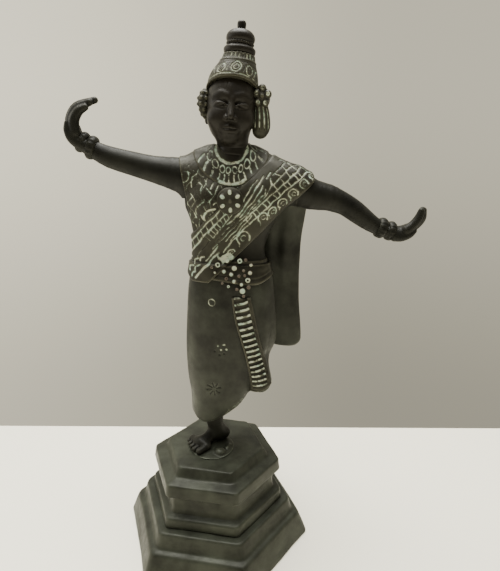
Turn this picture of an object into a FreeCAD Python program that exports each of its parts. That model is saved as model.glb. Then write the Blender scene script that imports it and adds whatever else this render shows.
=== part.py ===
import FreeCAD, Part

import math
import os

# A cast bronze statuette of a temple dancer on a stepped six-sided base.
# Row frame: +Z up, origin at the middle of the base's underside, front of the base towards -Y.
# The figure has its own frame, turned a little about +Z: u to the figure's left, v to its back.
# All lengths are millimetres.

Vector = FreeCAD.Vector
Rotation = FreeCAD.Rotation
Placement = FreeCAD.Placement

doc = FreeCAD.newDocument("TempleDancer")
sheet = doc.addObject("Spreadsheet::Sheet", "dims")
values = {}


def dimension(alias, value):
    """One driving dimension: a plain number in the sheet, with a word as its alias."""
    row = len(values) + 1
    sheet.set(f"A{row}", alias)
    sheet.set(f"B{row}", f"{value}")
    sheet.setAlias(f"B{row}", alias)
    values[alias] = value
    return value


# ---------------------------------------------------------------- driving dimensions

BASE = {
    "plinth_foot_radius": 85.0,
    "plinth_low_ledge_radius": 76.4,
    "plinth_high_foot_radius": 71.0,
    "plinth_high_top_radius": 67.4,
    "plinth_low_height": 22.0,
    "plinth_height": 35.0,
    "plinth_deck_height": 16.0,
    "pedestal_foot_radius": 61.0,
    "pedestal_step_radius": 59.4,
    "pedestal_step_height": 44.7,
    "waist_radius": 52.6,
    "slab_low_height": 63.8,
    "slab_low_radius": 59.0,
    "slab_rim_radius": 57.0,
    "slab_rim_height": 74.7,
    "riser_low_radius": 46.9,
    "riser_low_height": 76.3,
    "plate_radius": 43.5,
    "base_height": 84.0,
    "cast_wall": 6.0,
    "edge_rounding": 0.9,
    "stud_radius": 4.0,
    "stud_length": 36.0,
    "stud_drop": 18.0,
    "washer_radius": 11.0,
    "washer_thickness": 2.0,
    "nut_radius": 7.5,
    "nut_thickness": 6.5,
    "pin_radius": 2.5,
    "pin_length": 12.0,
    "pin_circle": 47.0,
}

FIGURE = {
    "figure_turn": 12.0,
    "figure_origin_x": 6.0,
    "figure_origin_y": 4.0,
    "head_tilt": 5.0,
    "neck_u": 7.5,
    "neck_v": -1.0,
    "neck_height": 334.0,
    "cloth_thickness": 2.0,
    "sash_thickness": 1.8,
    "collar_thickness": 1.6,
    "tail_thickness": 3.6,
    "dowel_radius": 2.5,
    "waist_dowel_length": 30.0,
    "finial_pin_radius": 1.0,
    "bangle_section": 2.0,
    "ankle_ring_radius": 8.0,
    "collar_bore_radius": 13.2,
    "collar_bore_length": 40.0,
    "medallion_radius": 9.6,
    "medallion_depth": 9.0,
    "seat_radius": 60.0,
    "neck_seat_depth": 20.0,
    "crown_seat_height": 60.0,
    "finial_pin_length": 29.0,
    "trim_block": 120.0,
}

for alias, value in {**BASE, **FIGURE}.items():
    dimension(alias, value)


def size(alias):
    return float(sheet.get(alias))


doc.recompute()

# The threaded rod stands under the ankle, and the foot's mound round it.
STUD_U = -8.5
STUD_V = -1.5
MOUND_RADII = (20.0, 20.5, 5.6)

FIGURE_FRAME = Placement(
    Vector(size("figure_origin_x"), size("figure_origin_y"), 0),
    Rotation(Vector(0, 0, 1), size("figure_turn")),
)
HEAD_FRAME = Placement(
    Vector(size("neck_u"), size("neck_v"), size("neck_height")),
    Rotation(Vector(0, 1, 0), size("head_tilt")),
)
NO_FRAME = Placement()

nodes = []


def node(obj, label, frame=None):
    """Marks an object as a finished sub-part; frame carries it into the row frame."""
    obj.Label = label
    if obj.Label != label:
        raise RuntimeError(f"{label} is already the name of another object")
    if frame is not None:
        obj.Placement = frame.multiply(obj.Placement)
    nodes.append(obj)
    return obj


# ---------------------------------------------------------------- building blocks


def bind(obj, **expressions):
    """Ties properties of an object to expressions of the sheet's aliases."""
    for prop, expression in expressions.items():
        for alias in sorted(values, key=len, reverse=True):
            expression = expression.replace(f"[{alias}]", f"dims.{alias}")
        obj.setExpression(prop.replace("__", "."), expression)
    return obj


def add(kind, name, position=(0, 0, 0), rotation=None, frame=NO_FRAME, **expressions):
    """A Part primitive whose sizes come from the sheet."""
    obj = doc.addObject(kind, name)
    local = Placement(Vector(*position), rotation or Rotation())
    obj.Placement = frame.multiply(local)
    return bind(obj, **expressions)


def cylinder(name, radius, height, position=(0, 0, 0), direction=(0, 0, 1), frame=NO_FRAME):
    """radius and height are expressions; the cylinder starts at position and runs along direction."""
    turn = Rotation(Vector(0, 0, 1), Vector(*direction))
    return add("Part::Cylinder", name, position, turn, frame, Radius=radius, Height=height)


def ellipsoid(name, radii, position, rotation=None, frame=NO_FRAME):
    """radii are the half-lengths along u, v and height."""
    obj = doc.addObject("Part::Ellipsoid", name)
    obj.Angle1 = -90
    obj.Angle2 = 90
    for prop, word, radius in zip(("Radius2", "Radius3", "Radius1"), ("u", "v", "z"), radii):
        alias = f"{name}_radius_{word}"
        dimension(alias, radius)
        obj.setExpression(prop, f"dims.{alias}")
    obj.Placement = frame.multiply(Placement(Vector(*position), rotation or Rotation()))
    return obj


def cut(name, base, *tools):
    """base less every tool, one cut for each."""
    result = base
    for index, tool in enumerate(tools):
        step = doc.addObject("Part::Cut", f"{name}_{index}")
        step.Base = result
        step.Tool = tool
        result = step
    return result


def group(name, shapes):
    """Several bodies, or one body that is also a tool elsewhere, as a part of their own."""
    obj = doc.addObject("Part::Compound", name)
    obj.Links = shapes
    return obj


def fuse(name, *shapes):
    obj = doc.addObject("Part::MultiFuse", name)
    obj.Shapes = list(shapes)
    return obj


def common(name, first, second):
    obj = doc.addObject("Part::Common", name)
    obj.Base = first
    obj.Tool = second
    return obj


def loft(name, sections, ruled=False):
    obj = doc.addObject("Part::Loft", name)
    obj.Sections = sections
    obj.Solid = True
    obj.Ruled = ruled
    return obj


def body_loft(name, stations, grow=None):
    """A torso-like solid through level ellipses.

    Each station is (word, height, u, v, half width, half depth). grow is a sheet
    expression that is added to every half width and half depth.
    """
    sections = []
    for word, height, u, v, half_width, half_depth in stations:
        stem = f"{name.split('__')[0]}_{word}"
        if f"{stem}_width" not in values:
            dimension(f"{stem}_width", half_width)
            dimension(f"{stem}_depth", half_depth)
        section = doc.addObject("Part::Ellipse", f"{name}_{word}")
        section.Placement = Placement(Vector(u, v, height), Rotation())
        extra = f" + {grow}" if grow else ""
        bind(section, MajorRadius=f"[{stem}_width]{extra}", MinorRadius=f"[{stem}_depth]{extra}")
        sections.append(section)
    return loft(name, sections)


def limb(name, stations, frame=NO_FRAME):
    """A tapering round limb through points (u, v, height, radius)."""
    centres = [Vector(*station[:3]) for station in stations]
    sections = []
    for index, station in enumerate(stations):
        before = centres[max(index - 1, 0)]
        after = centres[min(index + 1, len(centres) - 1)]
        alias = f"{name}_radius_{index}"
        dimension(alias, station[3])
        section = doc.addObject("Part::Circle", f"{name}_{index}")
        facing = Rotation(Vector(0, 0, 1), after - before)
        section.Placement = frame.multiply(Placement(centres[index], facing))
        section.setExpression("Radius", f"dims.{alias}")
        sections.append(section)
    return loft(name, sections)


def hexagon_step(name, low_radius, low_height, top_radius, top_height):
    """A six-sided frustum with corners on the X axis; every argument is a sheet expression."""
    sections = []
    for word, radius, height in (("low", low_radius, low_height), ("top", top_radius, top_height)):
        outline = doc.addObject("Part::RegularPolygon", f"{name}_{word}")
        outline.Polygon = 6
        bind(outline, Circumradius=radius, Placement__Base__z=height)
        sections.append(outline)
    return loft(name, sections, ruled=True)


def rounded(name, base, radius_expression, keep):
    """Rounds the edges of base for which keep(edge) is true."""
    doc.recompute()
    radius = size(radius_expression)
    obj = doc.addObject("Part::Fillet", name)
    obj.Base = base
    chosen = [i + 1 for i, edge in enumerate(base.Shape.Edges) if keep(edge)]
    obj.Edges = [(i, radius, radius) for i in chosen]
    return obj


# ---------------------------------------------------------------- base


def level_at(height, longer_than, tolerance=0.05):
    """Picks the level outline edges at one height that are longer than a given length."""

    def keep(edge):
        box = edge.BoundBox
        level = abs(box.ZMin - height) < tolerance and abs(box.ZMax - height) < tolerance
        return level and edge.Length > longer_than

    return keep


def stud_rod(name, frame):
    """The threaded rod that holds the figure down: from inside the base up into the ankle."""
    rod = cylinder(name, "[stud_radius]", "[stud_length]", (STUD_U, STUD_V, 0), frame=frame)
    return bind(rod, Placement__Base__z="[base_height] - [stud_drop]")


def build_base():
    lower = hexagon_step(
        "plinth_lower", "[plinth_foot_radius]", "0", "[plinth_low_ledge_radius]", "[plinth_low_height]"
    )
    upper = hexagon_step(
        "plinth_upper", "[plinth_high_foot_radius]", "[plinth_low_height]",
        "[plinth_high_top_radius]", "[plinth_height]",
    )
    plinth_outer = fuse("plinth_outer", lower, upper)
    plinth_hollow = hexagon_step(
        "plinth_hollow", "[plinth_foot_radius] - [cast_wall]", "-1",
        "[plinth_high_top_radius]", "[plinth_deck_height]",
    )
    plinth_opening = hexagon_step(
        "plinth_opening", "[pedestal_foot_radius] - 2 * [cast_wall]", "[plinth_deck_height] - 1",
        "[pedestal_foot_radius] - 2 * [cast_wall]", "[plinth_height] + 1",
    )
    pins = []
    for index in range(3):
        angle = math.radians(30 + 120 * index)
        spot = Vector(size("pin_circle") * math.cos(angle), size("pin_circle") * math.sin(angle), 0)
        pin = cylinder(f"locating_pin_{index}", "[pin_radius]", "[pin_length]", tuple(spot))
        bind(pin, Placement__Base__z="[plinth_height] - [pin_length] / 2")
        pins.append(pin)

    ledge_edges = level_at(size("plinth_low_height"), size("plinth_high_foot_radius") + 1)
    softened = rounded("plinth_rounded", plinth_outer, "edge_rounding", ledge_edges)
    node(cut("plinth", softened, plinth_hollow, plinth_opening, *pins), "base_plinth")

    step = hexagon_step(
        "pedestal_step", "[pedestal_foot_radius]", "[plinth_height]",
        "[pedestal_step_radius]", "[pedestal_step_height]",
    )
    waist = hexagon_step(
        "pedestal_waist", "[waist_radius]", "[pedestal_step_height]", "[waist_radius]", "[slab_low_height]"
    )
    pedestal_hollow = hexagon_step(
        "pedestal_hollow", "[pedestal_foot_radius] - 2 * [cast_wall]", "[plinth_height] - 1",
        "[waist_radius] - [cast_wall]", "[slab_low_height] + 1",
    )
    node(cut("pedestal", fuse("pedestal_outer", step, waist), pedestal_hollow, *pins), "base_pedestal")
    node(group("locating_pins_group", pins), "base_locating_pins")

    fascia = hexagon_step(
        "slab_fascia", "[slab_low_radius]", "[slab_low_height]", "[slab_rim_radius]", "[slab_rim_height]"
    )
    ledge = hexagon_step(
        "slab_ledge", "[slab_rim_radius]", "[slab_rim_height]", "[riser_low_radius]", "[riser_low_height]"
    )
    riser = hexagon_step(
        "slab_riser", "[riser_low_radius]", "[riser_low_height]", "[plate_radius]", "[base_height]"
    )
    slab = fuse("slab_outer", fascia, ledge, riser)
    slab_hollow = hexagon_step(
        "slab_hollow", "[waist_radius] - [cast_wall]", "[slab_low_height] - 1",
        "[plate_radius] - [cast_wall]", "[base_height] - [cast_wall]",
    )
    stud = stud_rod("stud", FIGURE_FRAME)
    node(cut("slab", slab, slab_hollow, stud), "base_top")
    node(group("stud_body", [stud]), "mounting_stud")

    washer_blank = cylinder("washer_blank", "[washer_radius]", "[washer_thickness]", (STUD_U, STUD_V, 0),
                            frame=FIGURE_FRAME)
    bind(washer_blank, Placement__Base__z="[base_height] - [cast_wall] - [washer_thickness]")
    node(cut("washer", washer_blank, stud), "mounting_washer")

    nut_blank = add("Part::Prism", "nut_blank", (STUD_U, STUD_V, 0), None, FIGURE_FRAME,
                    Circumradius="[nut_radius]", Height="[nut_thickness]")
    nut_blank.Polygon = 6
    bind(nut_blank, Placement__Base__z="[base_height] - [cast_wall] - [washer_thickness] - [nut_thickness]")
    node(cut("nut", nut_blank, stud), "mounting_nut")


# ---------------------------------------------------------------- legs and skirt


def build_legs():
    stud = stud_rod("stud_core", NO_FRAME)
    leg_outer = limb("leg", [(-8, -1, 88, 7.2), (-7.5, 0, 97, 6.6), (-7, 0.5, 108, 7.6), (-6, 1, 132, 9.5)])
    sole = size("base_height") + MOUND_RADII[2] * 0.55
    foot_turn = Rotation(Vector(0, 0, 1), -35)
    foot = ellipsoid("foot", (7.4, 19.0, 6.6), (-13.5, -9.0, sole + 3.6), foot_turn)
    heel = ellipsoid("heel", (6.6, 7.2, 7.0), (-6.4, 1.6, sole + 4.6), foot_turn)
    floor_cut = add("Part::Box", "under_foot", (-60, -60, 40), Length="[trim_block]", Width="[trim_block]")
    bind(floor_cut, Height=f"{sole - 40:.3f}")
    leg = cut("leg_trim", fuse("leg_fused", leg_outer, foot, heel), floor_cut, stud)

    mound = ellipsoid("mound_body", MOUND_RADII, (-9.5, -8.5, size("base_height")))
    above = add("Part::Box", "above_mound", (-60, -60, sole), Length="[trim_block]", Width="[trim_block]",
                Height="[trim_block]")
    below = add("Part::Box", "below_mound", (-60, -60, 40), Length="[trim_block]", Width="[trim_block]")
    bind(below, Height="[base_height] - 40")
    node(cut("mound", mound, above, below, stud), "foot_mound", FIGURE_FRAME)
    return leg


SKIRT_STATIONS = [
    ("hem", 111.5, -9.2, 0.0, 17.8, 14.4),
    ("ankle", 121, -5.4, 0.0, 21.8, 16.3),
    ("shin", 134, -1.4, 0.0, 27.0, 18.5),
    ("calf", 150, 0.5, 0.0, 30.5, 20.0),
    ("knee", 176, 4.5, 0.0, 34.5, 22.5),
    ("thigh", 208, 6.2, 0.0, 35.4, 23.5),
    ("hip", 234, 7.6, 0.0, 34.2, 21.5),
    ("waist", 248, 6.8, 0.0, 30.5, 18.0),
]

TORSO_STATIONS = [
    ("base", 248, 6.8, 0.0, 29.4, 16.5),
    ("waist", 260, 6.2, 0.0, 27.8, 15.8),
    ("ribs", 282, 8.8, -0.5, 33.0, 17.4),
    ("bust", 300, 11.0, -1.0, 41.0, 19.0),
    ("chest", 314, 12.0, 0.0, 41.8, 16.4),
    ("shoulder", 327, 9.6, 0.2, 35.0, 14.0),
    ("neck", 335, 7.8, -0.6, 22.0, 13.4),
]


def build_skirt(leg, waist_dowel):
    column = body_loft("skirt_column", SKIRT_STATIONS)
    calf = limb("calf", [(31, 8, 181, 10.6), (25, 26, 180, 10.2), (20.5, 40, 179, 8.0), (17, 51, 180, 5.8)])
    foot_lean = Rotation(Vector(0, 1, 0), -14)
    raised_foot = ellipsoid("raised_foot", (6.2, 6.6, 18.5), (18.0, 54.5, 169.0), foot_lean)
    raised = fuse("raised_fused", calf, raised_foot)
    hem_fan = body_loft("skirt_fan", [
        ("low", 145, 28.5, -6.0, 13.5, 8.0),
        ("high", 172, 26.0, -2.0, 15.5, 14.0),
    ])
    skirt_all = fuse("skirt_fused", column, hem_fan)
    node(cut("skirt_trim", skirt_all, leg, waist_dowel), "skirt", FIGURE_FRAME)
    node(group("leg_final", [leg]), "standing_leg", FIGURE_FRAME)

    ring_turn = Rotation(Vector(0, 0, 1), Vector(-3.5, 11, 1))
    ring = add("Part::Torus", "ankle_ring_blank", (19.4, 43.4, 179.4), ring_turn,
               Radius1="[ankle_ring_radius]", Radius2="[bangle_section]")
    node(cut("ankle_ring", ring, calf), "raised_ankle_ring", FIGURE_FRAME)
    node(cut("raised_trim", raised, column, hem_fan), "raised_leg", FIGURE_FRAME)
    return skirt_all, raised


def build_pleats(skirt_all):
    """The ribbed panel: a strip that hangs from the belt and swings to the figure's left."""
    stations = [
        (14.8, -24.0, 224, 7.4),
        (18.2, -25.0, 206, 8.1),
        (22.9, -23.3, 188, 7.8),
        (29.4, -19.6, 163, 8.4),
        (32.6, -16.4, 144, 9.2),
    ]
    sections = []
    for index, (u, v, height, half_width) in enumerate(stations):
        alias = f"pleats_width_{index}"
        dimension(alias, half_width)
        section = doc.addObject("Part::Ellipse", f"pleats_{index}")
        section.Placement = Placement(Vector(u, v, height), Rotation(Vector(0, 0, 1), 10))
        bind(section, MajorRadius=f"[{alias}]", MinorRadius="[tail_thickness]")
        sections.append(section)
    strip = loft("pleats_strip", sections)
    node(cut("pleats", strip, skirt_all), "skirt_pleats", FIGURE_FRAME)
    return strip


# ---------------------------------------------------------------- torso and its cloths


def slab_between(name, low, high, angle, u, height, extent=160):
    """A block between two parallel planes that climb to the figure's left.

    low and high are distances from the line through (u, height), measured square to it.
    """
    block = doc.addObject("Part::Box", name)
    block.Length = extent
    block.Width = extent
    block.Height = high - low
    turn = Rotation(Vector(0, 1, 0), -angle)
    corner = turn.multVec(Vector(-extent / 2, -extent / 2, low))
    block.Placement = Placement(Vector(u, 0, height) + corner, turn)
    return block


SASH_ANGLE = 43.6
SASH_EDGE_U = 34.8
SASH_EDGE_HEIGHT = 279.6
SASH_WIDTH = 37.0


def build_torso(skirt_all, raised):
    torso = body_loft("trunk", TORSO_STATIONS)
    grown = "[cloth_thickness]"
    wrapped = body_loft("trunk__wrap", TORSO_STATIONS, grown)
    sashed = body_loft("trunk__sash", TORSO_STATIONS, f"{grown} + [sash_thickness]")
    collared = body_loft("trunk__collar", TORSO_STATIONS, f"{grown} + [collar_thickness]")

    above_edge = slab_between("above_sash_edge", 0, 90, SASH_ANGLE, SASH_EDGE_U, SASH_EDGE_HEIGHT)
    sash_band = slab_between("sash_band", 0, SASH_WIDTH, SASH_ANGLE, SASH_EDGE_U, SASH_EDGE_HEIGHT)
    neck_bore = cylinder("collar_bore", "[collar_bore_radius]", "[collar_bore_length]", (1.2, -0.7, -6),
                         frame=HEAD_FRAME)
    collar_zone = ellipsoid("collar_zone", (27.0, 24.0, 24.0), (0.8, -3, -2), None, HEAD_FRAME)

    arms = build_arms()
    dowels = build_dowels()
    medallion = cylinder("medallion_disc", "[medallion_radius]", "[medallion_depth]", (6.4, -26.0, 299.4),
                         (0, 1, 0))

    sockets = dowels["neck"] + dowels["waist"] + dowels["shoulder"]
    node(cut("torso_trim", torso, *sockets), "torso", FIGURE_FRAME)
    wrap = cut("bodice", common("bodice_zone", wrapped, above_edge), torso, neck_bore, *arms["raw"])
    node(wrap, "bodice_wrap", FIGURE_FRAME)
    sash = common("sash_zone", sashed, sash_band)
    node(cut("sash", sash, wrapped, collar_zone, *arms["raw"]), "shoulder_sash", FIGURE_FRAME)
    collar = common("collar_part", collared, collar_zone)
    node(cut("collar", collar, neck_bore, wrapped, *arms["raw"]), "collar", FIGURE_FRAME)
    node(cut("medallion", medallion, sashed), "chest_medallion", FIGURE_FRAME)

    belt = body_loft("belt", [("low", 240, 7.2, 0, 36.0, 23.2), ("high", 254, 6.6, 0, 33.0, 20.4)])
    belt_ring = cut("belt_ring", belt, skirt_all, torso, wrapped, sashed)
    node(belt_ring, "waist_belt", FIGURE_FRAME)
    build_buckle(belt, skirt_all, sashed)

    arm_right = cut("arm_right_cut", arms["right"], *dowels["all_right"], torso)
    arm_left = cut("arm_left_cut", arms["left"], *dowels["all_left"], torso)
    node(arm_right, "arm_right", FIGURE_FRAME)
    node(arm_left, "arm_left", FIGURE_FRAME)
    for side in ("right", "left"):
        hand = cut(f"hand_{side}_cut", arms[f"hand_{side}"], arms[side], *dowels[f"wrist_{side}"])
        node(hand, f"hand_{side}", FIGURE_FRAME)
        node(arms[f"bangles_{side}"], f"bangles_{side}", FIGURE_FRAME)
    for word in ("neck", "waist", "shoulder", "wrist"):
        label = f"{word}_dowel" if len(dowels[word]) == 1 else f"{word}_dowels"
        node(group(f"{word}_dowel_group", dowels[word]), label, FIGURE_FRAME)
    build_tail([skirt_all, raised, sashed, belt, *arms["raw"]])
    return dowels


RIGHT_ARM = [(-22, 0, 316.2, 13.2), (-37.3, 0, 318.3, 12.0), (-52.5, 0, 321.4, 9.8), (-67.5, 0, 325.2, 8.8),
             (-82.4, 0, 329.2, 8.0), (-92, 0, 333.4, 6.8), (-101, 0, 338.4, 6.0)]
RIGHT_HAND = [(-98.5, 0, 337.0, 5.4), (-103.8, 0, 340.2, 6.4), (-108.2, 0, 346.6, 7.0), (-109.0, 0, 354.8, 6.2),
              (-104.2, 0, 363.6, 4.6), (-92.8, 0, 369.0, 2.4)]
LEFT_ARM = [(46, 0, 310.6, 13.6), (58, 0, 308.2, 13.6), (69.5, 0, 303.9, 11.9), (82.4, 0, 301.2, 10.3),
            (97.3, 0, 295.6, 8.8), (106.5, 0, 289.8, 8.2), (115, 0, 283.8, 7.4), (122.6, 0, 279.1, 6.4),
            (137, 0, 274.0, 5.6)]
LEFT_HAND = [(134, 0, 274.6, 5.4), (141.5, 0, 273.2, 6.4), (150.6, 0, 275.6, 7.0), (156.6, 0, 281.2, 6.2),
             (159.6, 0, 290.0, 3.4)]

# Each bangle is (centre, direction along the arm, outer radius).
BANGLES = {
    "right": [((-102.4, 0, 340.0), (13.3, 0, -7.9), 7.9), ((-95.9, 0, 336.2), (16.3, 0, -5.5), 8.7)],
    "left": [((127.6, 0, 277.2), (14.8, 0, -4.9), 8.3), ((135.4, 0, 274.9), (14.4, 0, -3.6), 7.8)],
}


def build_arms():
    arms = {
        "right": limb("right_arm", RIGHT_ARM),
        "left": limb("left_arm", LEFT_ARM),
        "hand_right": limb("right_hand", RIGHT_HAND),
        "hand_left": limb("left_hand", LEFT_HAND),
    }
    arms["raw"] = [arms["right"], arms["left"]]
    for side, rows in BANGLES.items():
        rings = []
        for index, (centre, along, outer_radius) in enumerate(rows):
            alias = f"bangle_{side}_{index}_outer_radius"
            dimension(alias, outer_radius)
            turn = Rotation(Vector(0, 0, 1), Vector(*along))
            ring = add("Part::Torus", f"bangle_{side}_{index}", centre, turn,
                       Radius1=f"[{alias}] - [bangle_section]", Radius2="[bangle_section]")
            rings.append(cut(f"bangle_{side}_{index}_trim", ring, arms[side], arms[f"hand_{side}"]))
        arms[f"bangles_{side}"] = group(f"bangle_{side}_group", rings)
    return arms


def build_dowels():
    """Joining pins inside the castings, each centred on the joint that it holds."""

    def dowel(name, middle, direction, length):
        along = Vector(*direction).normalize()
        start = Vector(*middle) - along * (length / 2)
        return cylinder(name, "[dowel_radius]", f"{length}", tuple(start), tuple(along))

    shoulder_right = dowel("shoulder_right_pin", (-29, 0, 317.2), (-1, 0, 0.12), 20)
    shoulder_left = dowel("shoulder_left_pin", (54, 0, 309.0), (1, 0, -0.34), 20)
    wrist_right = dowel("wrist_right_pin", (-100, 0, 337.9), (-0.87, 0, 0.49), 11)
    wrist_left = dowel("wrist_left_pin", (136, 0, 274.3), (1, 0, -0.26), 11)
    neck = dowel("neck_pin", (7.8, 0, 335), (0.06, 0, 1), 24)
    waist = dowel("waist_pin", (6.8, 0, 248), (0, 0, 1), 30)
    return {
        "neck": [neck],
        "waist": [waist],
        "shoulder": [shoulder_right, shoulder_left],
        "wrist": [wrist_right, wrist_left],
        "wrist_right": [wrist_right],
        "wrist_left": [wrist_left],
        "all_right": [shoulder_right, wrist_right],
        "all_left": [shoulder_left, wrist_left],
    }


def build_buckle(belt, skirt_all, sashed):
    """A pointed apron plate that hangs from the middle of the belt."""
    outline = [(-10.0, 247.0), (3.0, 257.0), (22.0, 257.0), (25.0, 246.0), (24.0, 234.0), (20.5, 226.0),
               (11.0, 232.0)]
    points = [Vector(u, -30.0, height) for u, height in outline]
    face = Part.Face(Part.makePolygon(points + points[:1]))
    plate = doc.addObject("Part::Feature", "buckle_plate")
    plate.Shape = face.extrude(Vector(0, 16, 0))
    node(cut("buckle", plate, belt, skirt_all, sashed), "belt_buckle", FIGURE_FRAME)
    return plate


def build_tail(tools):
    """The sash's tail: one long panel that hangs behind the figure's left shoulder."""
    sections = []
    for index, (u, v, height, half_width) in enumerate((
        (54.0, 22.0, 167, 16.5),
        (51.0, 23.0, 200, 17.5),
        (46.5, 24.5, 240, 20.5),
        (46.5, 24.0, 270, 22.0),
        (48.5, 20.0, 304, 22.5),
    )):
        alias = f"tail_width_{index}"
        dimension(alias, half_width)
        section = doc.addObject("Part::Ellipse", f"tail_{index}")
        section.Placement = Placement(Vector(u, v, height), Rotation(Vector(0, 0, 1), 6))
        bind(section, MajorRadius=f"[{alias}]", MinorRadius="[tail_thickness]")
        sections.append(section)
    tail = loft("tail_panel", sections)
    node(cut("tail", tail, *tools), "sash_tail", FIGURE_FRAME)


# ---------------------------------------------------------------- head and crown


def build_head(dowels):
    neck = limb("neck", [(1.2, -0.7, -4, 12.2), (0.8, -0.7, 6, 11.8), (-0.6, -0.9, 18, 11.2)], HEAD_FRAME)
    skull = ellipsoid("skull", (17.6, 20.5, 23.5), (-3.2, -3.0, 28.5), None, HEAD_FRAME)
    crown_seat = cylinder("crown_seat", "[seat_radius]", "[crown_seat_height]", (0, -3, 44.5), frame=HEAD_FRAME)
    neck_seat = cylinder("neck_seat", "[seat_radius]", "[neck_seat_depth]", (7, 0, 315))
    head = cut("head", fuse("head_fused", neck, skull), neck_seat, crown_seat, *dowels["neck"])
    node(head, "head", FIGURE_FRAME)

    pin = cylinder("finial_core", "[finial_pin_radius]", "[finial_pin_length]", (0, -2, 52), frame=HEAD_FRAME)
    crown_profile = [(-2.4, -3, 44.5, 19.6), (-1.8, -3, 50, 18.6), (-0.5, -2.6, 58, 14.4), (0, -2, 66, 11.2)]
    crown = limb("crown_cone", crown_profile, HEAD_FRAME)
    lower = turned("crown_disc_lower_blank", [(66, 8.6), (67.5, 10.6), (70.2, 10.9), (72.4, 8.2)])
    upper = turned("crown_disc_upper_blank", [(72.4, 7.4), (75.0, 9.6), (77.4, 9.9), (81.6, 4.6)])
    knob = turned("finial_blank", [(81.6, 1.8), (84.4, 3.2), (87.6, 0.8)])
    node(cut("crown_trim", crown, pin, lower), "crown", FIGURE_FRAME)

    node(cut("disc_lower", lower, pin), "crown_disc_lower", FIGURE_FRAME)
    node(cut("disc_upper", upper, pin), "crown_disc_upper", FIGURE_FRAME)
    node(cut("finial", knob, pin), "finial_knob", FIGURE_FRAME)
    node(group("pin_body", [pin]), "finial_pin", FIGURE_FRAME)

    right_drop = [(-21.6, -1.6, 42.0, 3.2), (-23.4, -2.4, 35.5, 5.2), (-22.8, -2.4, 28.0, 4.4),
                  (-21.4, -2.4, 21.8, 2.2)]
    right_ear = limb("ear_right", right_drop, HEAD_FRAME)
    left_boss = [(13, -2, 40.0, 7.4), (18, -3, 40.6, 8.4), (25.0, -4.2, 41.0, 6.6)]
    left_ear = limb("ear_left", left_boss, HEAD_FRAME)
    strands = [(18.4, -4, 33.5, 4.0), (19.6, -4.2, 26, 5.2), (20.2, -4.4, 19, 5.8), (20.2, -4.4, 12.5, 4.6)]
    tassel = limb("tassel", strands, HEAD_FRAME)
    node(cut("ear_right_trim", right_ear, skull, crown), "ear_ornament_right", FIGURE_FRAME)
    node(cut("ear_left_trim", left_ear, skull, crown), "ear_flower_left", FIGURE_FRAME)
    node(cut("tassel_trim", tassel, left_ear, skull, neck), "ear_tassel_left", FIGURE_FRAME)


def turned(name, profile):
    """A turned ring of the crown's stack: a spun outline of (height, radius) in the head's frame."""
    first_height = profile[0][0]
    last_height = profile[-1][0]
    middle = -2.0
    points = [Vector(radius, 0, height) for height, radius in profile]
    curve = Part.BSplineCurve()
    curve.interpolate(points)
    axis_low = Vector(0, 0, first_height)
    axis_high = Vector(0, 0, last_height)
    edges = [
        Part.makeLine(axis_low, points[0]),
        curve.toShape(),
        Part.makeLine(points[-1], axis_high),
        Part.makeLine(axis_high, axis_low),
    ]
    solid = Part.Face(Part.Wire(edges)).revolve(Vector(0, 0, 0), Vector(0, 0, 1), 360)
    obj = doc.addObject("Part::Feature", name)
    obj.Shape = solid
    obj.Placement = HEAD_FRAME.multiply(Placement(Vector(0, middle, 0), Rotation()))
    return obj


# ---------------------------------------------------------------- assembly


def check_objects():
    for obj in doc.Objects:
        if "Invalid" in obj.State or "Error" in obj.State:
            raise RuntimeError(f"{obj.Name} did not rebuild: {obj.State}")


def write_parts():
    os.makedirs("parts", exist_ok=True)
    for obj in nodes:
        shape = obj.Shape
        if shape.isNull() or not shape.isValid() or not shape.Solids:
            raise RuntimeError(f"{obj.Label} has no valid solid")
        shape.exportStep(f"parts/{obj.Label}.step")
        print(f"{obj.Label:22s} solids {len(shape.Solids)} volume {shape.Volume / 1000:8.2f} cm3")


doc.recompute()
build_base()
standing_leg = build_legs()
waist_core = cylinder("waist_core", "[dowel_radius]", "[waist_dowel_length]", (6.8, 0, 233))
skirt_solid, raised_solid = build_skirt(standing_leg, waist_core)
build_pleats(skirt_solid)
pins_by_joint = build_torso(skirt_solid, raised_solid)
build_head(pins_by_joint)
doc.recompute()
check_objects()
write_parts()
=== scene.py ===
"""The bronze temple dancer on its stepped stand: sculpted surfaces, engraving, patina, floor and light."""
import functools
import math

import bpy
import numpy as np
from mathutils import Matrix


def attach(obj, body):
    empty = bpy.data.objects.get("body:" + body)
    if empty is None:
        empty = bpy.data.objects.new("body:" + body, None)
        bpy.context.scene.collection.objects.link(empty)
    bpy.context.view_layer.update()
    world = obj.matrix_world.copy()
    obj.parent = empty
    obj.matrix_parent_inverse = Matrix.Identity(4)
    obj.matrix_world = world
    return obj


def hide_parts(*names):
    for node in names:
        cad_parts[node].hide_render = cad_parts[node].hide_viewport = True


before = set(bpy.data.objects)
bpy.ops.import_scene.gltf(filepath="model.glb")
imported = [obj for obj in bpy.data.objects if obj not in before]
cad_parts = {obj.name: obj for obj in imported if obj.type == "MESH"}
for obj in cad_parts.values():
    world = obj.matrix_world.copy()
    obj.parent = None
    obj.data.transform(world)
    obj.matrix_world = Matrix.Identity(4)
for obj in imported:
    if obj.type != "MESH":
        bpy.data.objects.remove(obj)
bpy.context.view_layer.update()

import openvdb
from mathutils import Euler, Vector

COARSE = 1.0

# The figure stands turned on the stand: u to its left hand, v to its back, z up, in millimetres.
FIGURE_TURN = math.radians(12.0)
FIGURE_ORIGIN = (6.0, 4.0)

# The head's own frame: a sideways, b to the back, h up from the pit of the neck.
HEAD_NECK = (7.5, -1.0, 334.0)
HEAD_TILT = math.radians(5.0)
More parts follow.
